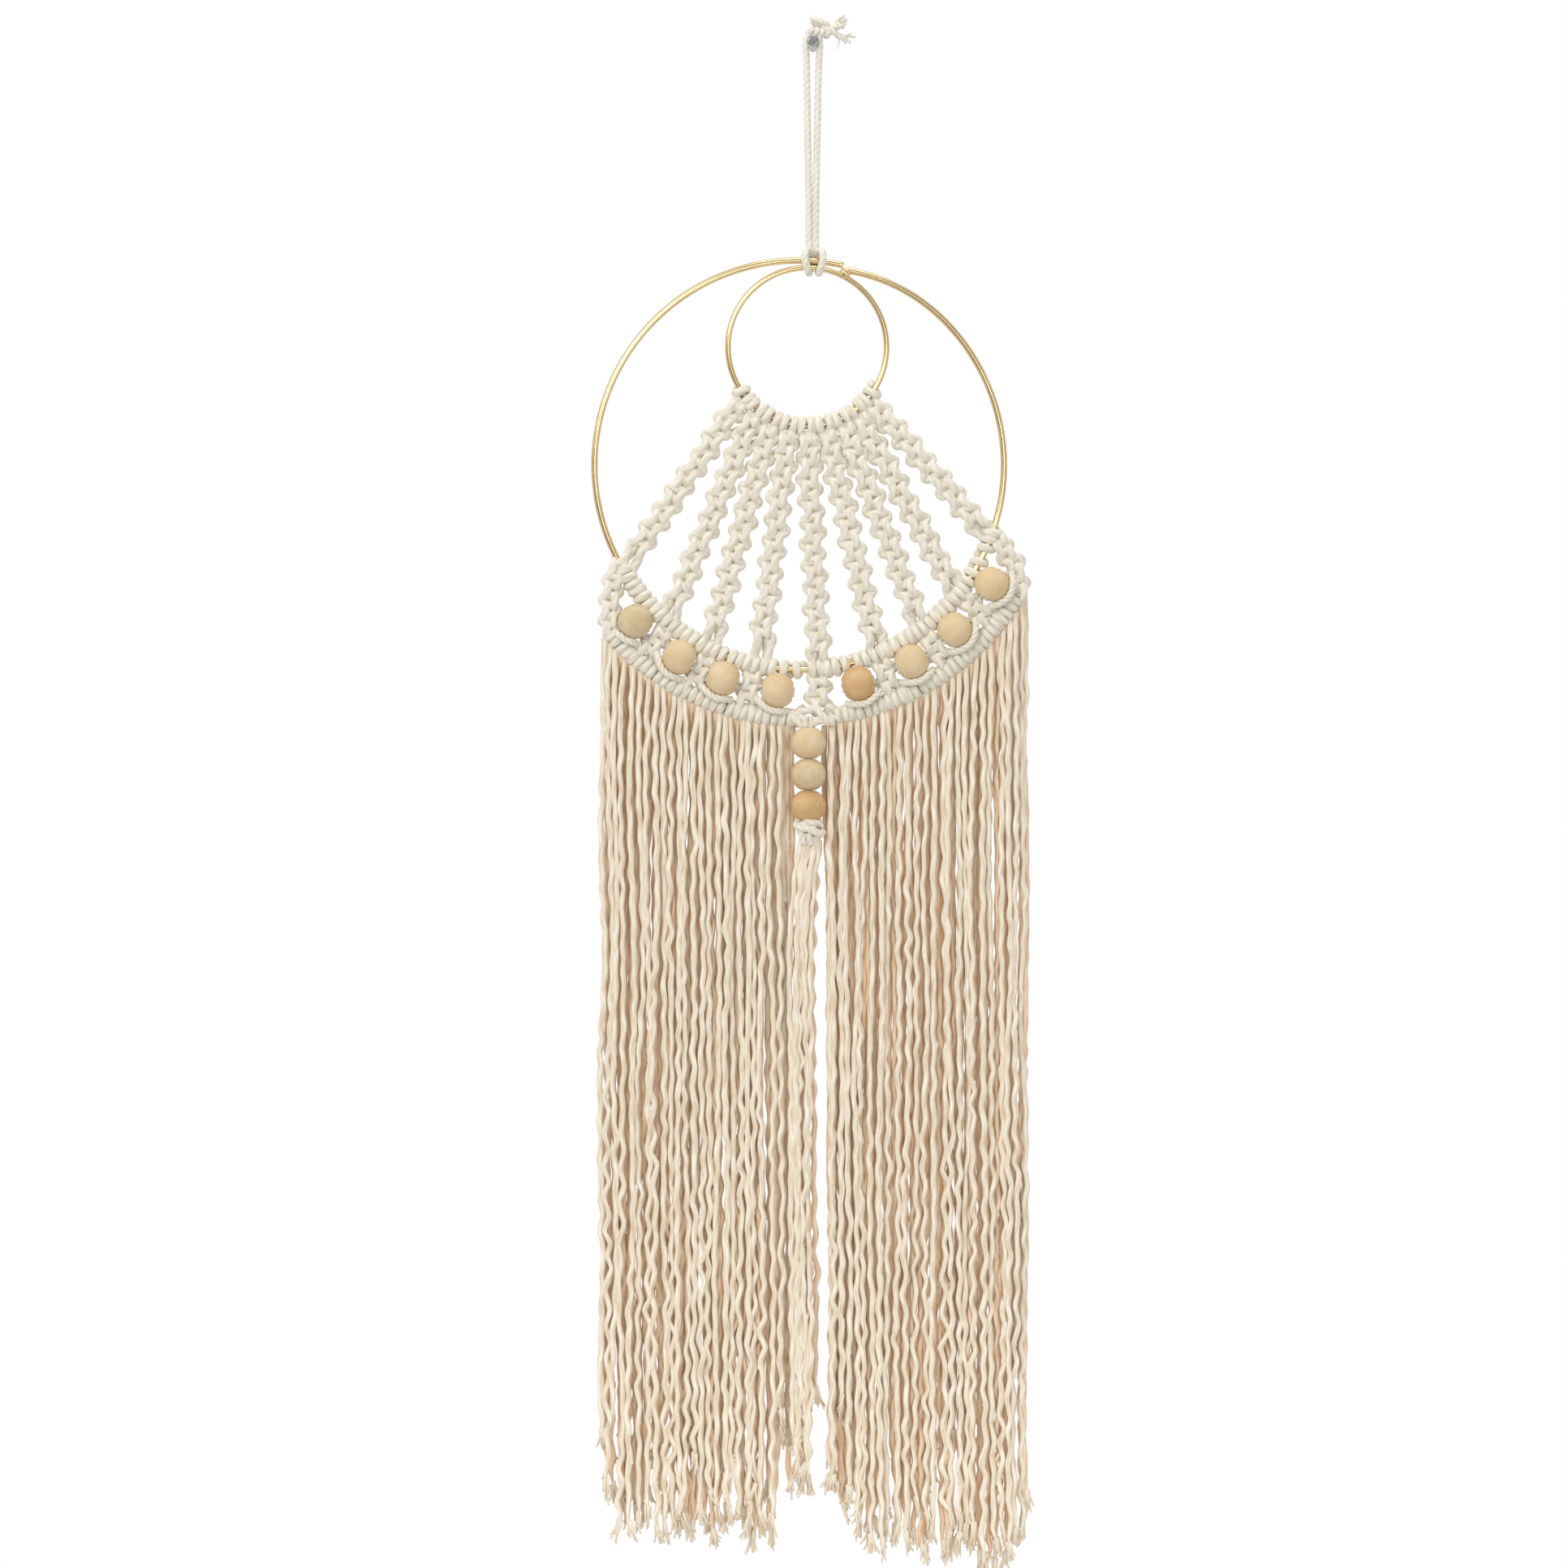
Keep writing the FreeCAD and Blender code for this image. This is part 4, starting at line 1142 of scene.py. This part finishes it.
knot_routes = [
    [(-3.4, -9.6, -372.6), (-6.6, -9.8, -374.4), (-8.4, -12.2, -376.6), (-6.6, -14.6, -378.4),
     (-2.2, -15.6, -378.4), (1.6, -15.4, -380.6), (4.4, -13.2, -381.4), (4.4, -10.4, -379.6),
     (2.0, -8.6, -378.6)],
    [(-0.8, -9.6, -372.6), (2.2, -9.6, -374.6), (3.4, -12.6, -376.2), (0.6, -15.0, -375.8),
     (-3.2, -15.4, -375.6), (-6.4, -13.4, -377.2), (-5.2, -11.0, -380.4), (-2.0, -11.4, -382.6),
     (1.6, -12.4, -384.0), (2.6, -11.0, -382.2)],
    [(-6.4, -12.6, -379.4), (-4.8, -13.6, -381.6), (-4.6, -12.6, -386.0)],
    [(-2.6, -13.4, -380.6), (-1.2, -13.8, -383.4), (-1.4, -12.4, -386.0)],
]
knot = Skein()
lay_routes(knot, knot_routes, TIED_CORD, TIED_STEP, sides=14, lay_length=10 * MM, groove=0.24)
knot.knotwork("drop_overhand_knot", ["drop_knot"], "drop")


# %% [markdown]
# The fringe is the same cord unpicked: every cord end opens into its three plies, and each
# ply keeps the waves that years of twist pressed into it. So each cord's course is laid
# first, and a ply follows it at its own distance, with a wave that wanders in length. Every
# second cord hangs behind and fills the gaps between the front plies; it is painted darker,
# as painted shade. A last layer, close to the wall, backs them all, and carries painted
# shade too, standing in for the shade deep inside the fringe.

# %% Fringe: courses
STRAND_LEVELS = (0.0, 0.11, 0.23, 0.36, 0.48, 0.61, 0.74, 0.87, 1.0)
STRAND_SWAYS = (
    (0.0, 0.5, 0.1, 0.7, 0.1, -0.3, 0.2, -0.4, 0.1),
    (0.0, -0.4, 0.2, -0.2, 0.5, 0.1, 0.6, 0.0, 0.4),
    (0.0, 0.3, -0.3, 0.2, -0.4, -0.1, -0.6, -0.2, -0.7),
    (0.0, -0.5, -0.7, -0.2, -0.6, 0.1, -0.4, 0.3, -0.1),
    (0.0, 0.6, 0.2, 0.8, 0.4, 0.7, 0.1, 0.5, -0.1),
)
LEFT_ENDS = (-692, -701, -712, -706, -714, -700, -708, -713,
             -704, -716, -705, -676, -712, -718, -709, -668)
RIGHT_ENDS = (-690, -704, -709, -716, -720, -715, -718, -724,
              -714, -722, -718, -720, -727, -731, -722, -716)
LEFT_FIRST, LEFT_PITCH = -98.5, 5.6
RIGHT_FIRST, RIGHT_PITCH = 8.7, 6.1
FRONT_DEPTH, REAR_DEPTH = -9.3, -4.9
STRANDS_A_SIDE = 16
STRANDS_A_LOCK = 4
PLIES_A_STRAND = 5
STRAND_SEAT = ROW_REACH + 2.15 * MM


def strand_top(x):
    """Where a strand at x leaves the lower row."""
    return LARGE_CENTRE[2] - math.sqrt((ROW_RADIUS + STRAND_SEAT) ** 2 - (x - LARGE_CENTRE[0]) ** 2)


strand_routes = []
for index in range(2 * STRANDS_A_SIDE):
    side, count = divmod(index, STRANDS_A_SIDE)
    x = (LEFT_FIRST, RIGHT_FIRST)[side] + (LEFT_PITCH, RIGHT_PITCH)[side] * count
    depth = (FRONT_DEPTH, REAR_DEPTH)[index % 2]
    top = strand_top(x * MM) / MM
    end = (LEFT_ENDS, RIGHT_ENDS)[side][count]
    strand_routes.append(np.array([(x + sway, depth, top + (end - top) * level)
                                   for sway, level in zip(STRAND_SWAYS[index % 5], STRAND_LEVELS)]) * MM)
strand_lines = smooth_lines(strand_routes)
print(f"fringe: {len(strand_lines)} cord ends")


# %% Fringe: waves
KINK_RUN = (5.5, 11.0)
KINK_REACH = (0.15, 0.85)
KINK_SOFTENING = (0.04, 0.2, 0.52, 0.2, 0.04)


def wandering(draw, length, spacing, size):
    """A smooth random drift along a length in mm."""
    knots = max(4, int(length / spacing) + 2)
    values = draw.normal(0, size, knots)
    places = np.linspace(0, length, knots)
    return lambda along: np.interp(along, places, values)


def softened(values, softening):
    """Values along a line, each shared out over its neighbours."""
    return np.convolve(np.pad(values, len(softening) // 2, "edge"), softening, "valid")


def kinks(draw, length, along):
    """Uneven bends to one side and the other, as pressed in by the cord's old twist."""
    places = np.cumsum(draw.uniform(*KINK_RUN, int(length / KINK_RUN[0]) + 2))
    values = draw.uniform(*KINK_REACH, len(places)) * (-1.0) ** np.arange(len(places))
    return softened(np.interp(along, places, values), KINK_SOFTENING)


print(f"waves: a kink every {KINK_RUN[0]} to {KINK_RUN[1]} mm")


# %% Fringe: one ply
PLY_RADIUS = 1.5 * MM
PLY_STEP = 1.25 * MM
DRIFT_SOFTENING = np.ones(25) / 25
DRIFT_SPACING, DRIFT_SIZE = 55, 0.8
SINK_SPACING, SINK_SIZE = 45, 0.5
WAVE_SPACING, WAVE_CHANGE, WAVE_SIZE, WAVE_DEPTH = 24, 0.3, (0.7, 1.4), 0.6
CRIMP_START, CRIMP_RUN, FOOT_CRIMP = 140.0, 180.0, 0.7
PLY_OPENING, OPENING_START, OPENING_GAIN = 12.0, 0.8, 0.2
SETTLE_RUN = 20
TUCK_RISE, TUCK_RUN = 3.4, 6.0
EDGE_LEFT, EDGE_RIGHT = -101.5, 101.5
GAP_LEFT, GAP_RIGHT = -12.5, 8.2
EDGE_GIVE = 3
BEADS_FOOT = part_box("drop_knot")[0][2]


def tucked_in(moved, line, along, low, high):
    """Keeps a ply inside its half of the fringe, and leads its top up into the row."""
    moved[:, 0] = np.clip(moved[:, 0], (low - EDGE_GIVE) * MM, (high + EDGE_GIVE) * MM)
    beside = line[:, 2] > BEADS_FOOT
    inner = (low - EDGE_GIVE, high) if low < 0 else (low, high + EDGE_GIVE)
    moved[beside, 0] = np.clip(moved[beside, 0], inner[0] * MM, inner[1] * MM)
    tuck = (1 - np.clip(along / TUCK_RUN, 0, 1)) ** 2
    moved[:, 1] += (RING_PLANE - moved[:, 1]) * tuck
    moved[:, 2] += (strand_top(moved[0, 0]) - line[0, 2]) * np.clip(1 - along / along[-1], 0, 1)
    moved[:, 2] += TUCK_RISE * MM * tuck


def ply_line(course, offset, depth_shift, seed, tucked=True, slack=1.0):
    """One ply beside a cord's course, with its own bends."""
    draw = np.random.default_rng(seed)
    line = evenly(course, PLY_STEP)
    along = run_lengths(line) / MM
    total = along[-1]
    opening = np.clip(along / PLY_OPENING, 0, 1)
    opening = OPENING_START + OPENING_GAIN * opening * opening * (3 - 2 * opening)
    drift = softened(wandering(draw, total, DRIFT_SPACING, DRIFT_SIZE)(along), DRIFT_SOFTENING)
    sink = softened(wandering(draw, total, SINK_SPACING, SINK_SIZE)(along), DRIFT_SOFTENING)
    size = slack * draw.uniform(*WAVE_SIZE)
    size = size * (1 + wandering(draw, total, WAVE_SPACING, WAVE_CHANGE)(along))
    size *= 1 + FOOT_CRIMP * np.clip((along - CRIMP_START) / CRIMP_RUN, 0, 1)
    side, over = size * kinks(draw, total, along), WAVE_DEPTH * size * kinks(draw, total, along)
    settled = np.clip(along / SETTLE_RUN, 0, 1)
    low, high = (EDGE_LEFT, GAP_LEFT) if line[0, 0] < 0 else (GAP_RIGHT, EDGE_RIGHT)
    if tucked:
        offset = np.clip(offset, low - line[0, 0] / MM, high - line[0, 0] / MM)
    moved = line.copy()
    moved[:, 0] += (offset * opening + drift * settled + side) * MM
    moved[:, 1] += (depth_shift * opening + sink * settled + over) * MM
    if tucked:
        tucked_in(moved, line, along, low, high)
    return moved


print(f"plies: {2 * PLY_RADIUS / MM:.0f} mm thick")


# %% Fringe: plies sorted into locks
PLY_SPREAD = 3.75
# Painted shade for each kind of ply: the lower the tint, the more groove tone is laid on. Rear and
# backing plies get much painted shade; front plies, with a tint above one, little.
FRONT_PAINTED_SHADE, REAR_PAINTED_SHADE, BACKING_PAINTED_SHADE = 1.45, 0.78, 0.78
TRIM_MEAN, TRIM_MOST = 8, 48
BACKING_DEPTH = 1.3
BACKING_OFFSETS = (-1.4, 1.4)

fringe_draw = np.random.default_rng(21)
lock_lines = [[] for _ in range(8)]
for index, course in enumerate(strand_lines):
    lock = index // STRANDS_A_LOCK
    rear = index % 2 and index % STRANDS_A_SIDE + 1 < STRANDS_A_SIDE
    for ply, offset in enumerate((0.0, -PLY_SPREAD, PLY_SPREAD)):
        shift = fringe_draw.uniform(-0.9, 0.7) + (0.9 if ply else 0.0)
        offset += fringe_draw.normal(0, 0.6) if ply else 0.0
        line = ply_line(course, offset, shift, 1000 + index * 3 + ply)
        trim = int(min(TRIM_MOST, fringe_draw.exponential(TRIM_MEAN))) if ply else 0
        line = line[:len(line) - trim]
        # Rear strands get painted shade, its amount changed a little at random from ply to ply.
        tint = (REAR_PAINTED_SHADE if rear else FRONT_PAINTED_SHADE) + fringe_draw.uniform(-0.16, 0.0)
        lock_lines[lock].append((line, tint, ply == 0))
    for ply, offset in enumerate(BACKING_OFFSETS):
        depth = REAR_DEPTH + BACKING_DEPTH - course[0, 1] / MM
        line = ply_line(course, offset, depth, 7000 + index * 2 + ply, slack=0.5)
        line = line[:len(line) - int(min(TRIM_MOST, fringe_draw.exponential(2 * TRIM_MEAN)))]
        # Backing plies get painted shade, its amount changed a little at random.
        lock_lines[lock].append((line, BACKING_PAINTED_SHADE + fringe_draw.uniform(-0.1, 0.1), False))
print(f"locks: {len(lock_lines)}, with {sum(map(len, lock_lines))} plies")


# %% Fringe: laying the plies
TIP_SHARE, TIP_GAIN, TIP_RUN = 0.45, 0.55, 7
THICK_SPACING, THICK_CHANGE = 14, 0.06
PLY_THICKNESS = (0.88, 1.04)
PLY_LAY = (22, 34)
PLY_TWIST = {"sides": 8, "ridges": 2, "groove": 0.16}
TUFT = (8, 10 * MM, 1.3 * MM, 0.8 * MM)
# Tufts get their ply's tint raised, so little painted shade lies on their fibres.
TUFT_PAINTED_SHADE_LIFT = 0.6
BLEND_RISE, BLEND_FALL = 2 * MM, 24 * MM


def ply_radius(line, radius):
    """A ply's thickness: even, then thinner over its last few millimetres."""
    left = (run_lengths(line)[-1] - run_lengths(line)) / MM
    return radius * (TIP_SHARE + TIP_GAIN * np.clip(left / TIP_RUN, 0, 1))


def lay_ply(skein, brushes, line, tint, seed):
    """A ply in one skein, and the brush of fibres at its end in another."""
    draw = np.random.default_rng(seed)
    along = run_lengths(line) / MM
    uneven = 1 + wandering(draw, along[-1], THICK_SPACING, THICK_CHANGE)(along)
    radius = ply_radius(line, PLY_RADIUS * draw.uniform(*PLY_THICKNESS)) * uneven
    skein.lay(line, radius, tint=tint, lay_length=draw.uniform(*PLY_LAY) * MM,
              phase=draw.uniform(0, 6), **PLY_TWIST)
    # The brush's tint is raised, which lays less painted shade on its fibres.
    fray(brushes, line[-2], line[-1] - line[-4], *TUFT, seed, tint + TUFT_PAINTED_SHADE_LIFT)


for number, lines in enumerate(lock_lines, 1):
    skein = Skein()
    lowest = min(line[0, 2] for line, tint, declared in lines)
    start, end = (0, 0, lowest + BLEND_RISE), (0, 0, lowest - BLEND_FALL)
    for place, (line, tint, declared) in enumerate(lines):
        seed = 3000 + number * 20 + place
        if declared:
            single = Skein()
            lay_ply(single, skein, line, tint, seed)
            strand = single.piece(f"fringe_ply_{number}_{place // PLIES_A_STRAND + 1}", fringe_cotton,
                                  None, "fringe_cord")
            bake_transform(strand)
        else:
            lay_ply(skein, skein, line, tint, seed)
    lock = skein.piece(f"fringe_plies_{number}", fringe_cotton, None, "fringe_cord",
                       [f"fringe_lock_{number}"])
    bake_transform(lock)


# %% [markdown]
# Two more strands hang behind the drop, close to the wall. They come off the lower row's
# back and stay with the panel, so the drop and the locks can swing away from them. They
# carry the backing layer's painted shade.

# %% Strands behind the drop
MIDDLE_SLACK = 0.4
MIDDLE_LAY = 28 * MM
MIDDLE_ROUTES = (
    ((-9.9, -5.6, 2.0), (-9.9, -3.4, -6.0), (-9.9, -2.4, -16.0), (-9.9, -2.4, -60.0),
     (-10.6, -2.4, -120.0), (-11.2, -2.4, -200.0), (-10.6, -2.4, -280.0), (-11.4, -2.4, -362.0)),
    ((5.3, -5.6, 2.0), (5.3, -3.4, -6.0), (5.3, -2.4, -16.0), (5.3, -2.4, -46.0), (8.4, -2.4, -90.0),
     (10.4, -2.4, -150.0), (9.8, -2.4, -230.0), (10.6, -2.4, -350.0)),
)
for number, route in enumerate(MIDDLE_ROUTES, 1):
    top = strand_top(route[0][0] * MM) / MM
    course, = smooth_lines([np.array([(x, y, top + z) for x, y, z in route]) * MM])
    line = ply_line(course, 0.0, 0.0, 6000 + number, tucked=False, slack=MIDDLE_SLACK)
    single = Skein()
    # This ply carries the backing's painted shade.
    single.lay(line, ply_radius(line, PLY_RADIUS), tint=BACKING_PAINTED_SHADE, lay_length=MIDDLE_LAY, **PLY_TWIST)
    single.piece(f"middle_ply_{number}", fringe_cotton, "panel", "fringe_cord")


# %% [markdown]
# The drop's own tail is unpicked too. Its plies drift down to the left, which leaves a
# narrow gap beside them.

# %% Drop tail
TAIL_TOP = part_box("drop_tail")[1][2]
TAIL_ROUTES = (
    ((-4.4, -12.4, 0.0), (-6.9, -12.9, -22.0), (-8.2, -13.2, -60.0), (-8.0, -13.0, -110.0),
     (-8.6, -13.3, -170.0), (-7.6, -13.0, -230.0), (-7.6, -13.2, -288.0)),
    ((-0.2, -12.4, 0.0), (-3.0, -12.8, -26.0), (-4.6, -13.1, -70.0), (-4.2, -13.0, -128.0),
     (-4.8, -13.2, -186.0), (-3.6, -12.9, -244.0), (-3.6, -13.1, -300.0)),
    ((-4.4, -8.6, 0.0), (-6.0, -8.1, -32.0), (-6.6, -8.3, -80.0), (-5.8, -8.0, -140.0),
     (-6.2, -8.2, -198.0), (-4.8, -8.0, -254.0), (-5.0, -8.2, -306.0)),
    ((-0.2, -8.6, 0.0), (-2.4, -8.2, -28.0), (-2.8, -8.0, -74.0), (-2.2, -8.2, -126.0),
     (-2.6, -8.0, -176.0), (-1.4, -8.2, -222.0), (-1.4, -8.1, -264.0)),
)
TAIL_OFFSETS = (0.0, -2.4, 2.2)
TAIL_BACK = 0.6
TAIL_SLACK = 1.3

tail_lines = smooth_lines([np.array([(x, y, TAIL_TOP / MM + z) for x, y, z in route]) * MM
                           for route in TAIL_ROUTES])
tail_skein = Skein()
for number, course in enumerate(tail_lines, 1):
    # Painted shade: the two rear tail strands are painted darker than the two in front.
    tint = REAR_PAINTED_SHADE if number > 2 else FRONT_PAINTED_SHADE
    for ply, offset in enumerate(TAIL_OFFSETS):
        line = ply_line(course, offset, TAIL_BACK if ply else 0.0, 5000 + number * 3 + ply,
                        tucked=False, slack=TAIL_SLACK)
        skein = tail_skein if ply else Skein()
        lay_ply(skein, tail_skein, line, tint, 5200 + number * 3 + ply)
        if not ply:
            strand = skein.piece(f"tail_ply_{number}", fringe_cotton, "drop", "fringe_cord")
tail_skein.piece("tail_plies", fringe_cotton, "drop", "fringe_cord", ["drop_tail"])


# %% [markdown]

# %% The end
print("the end")
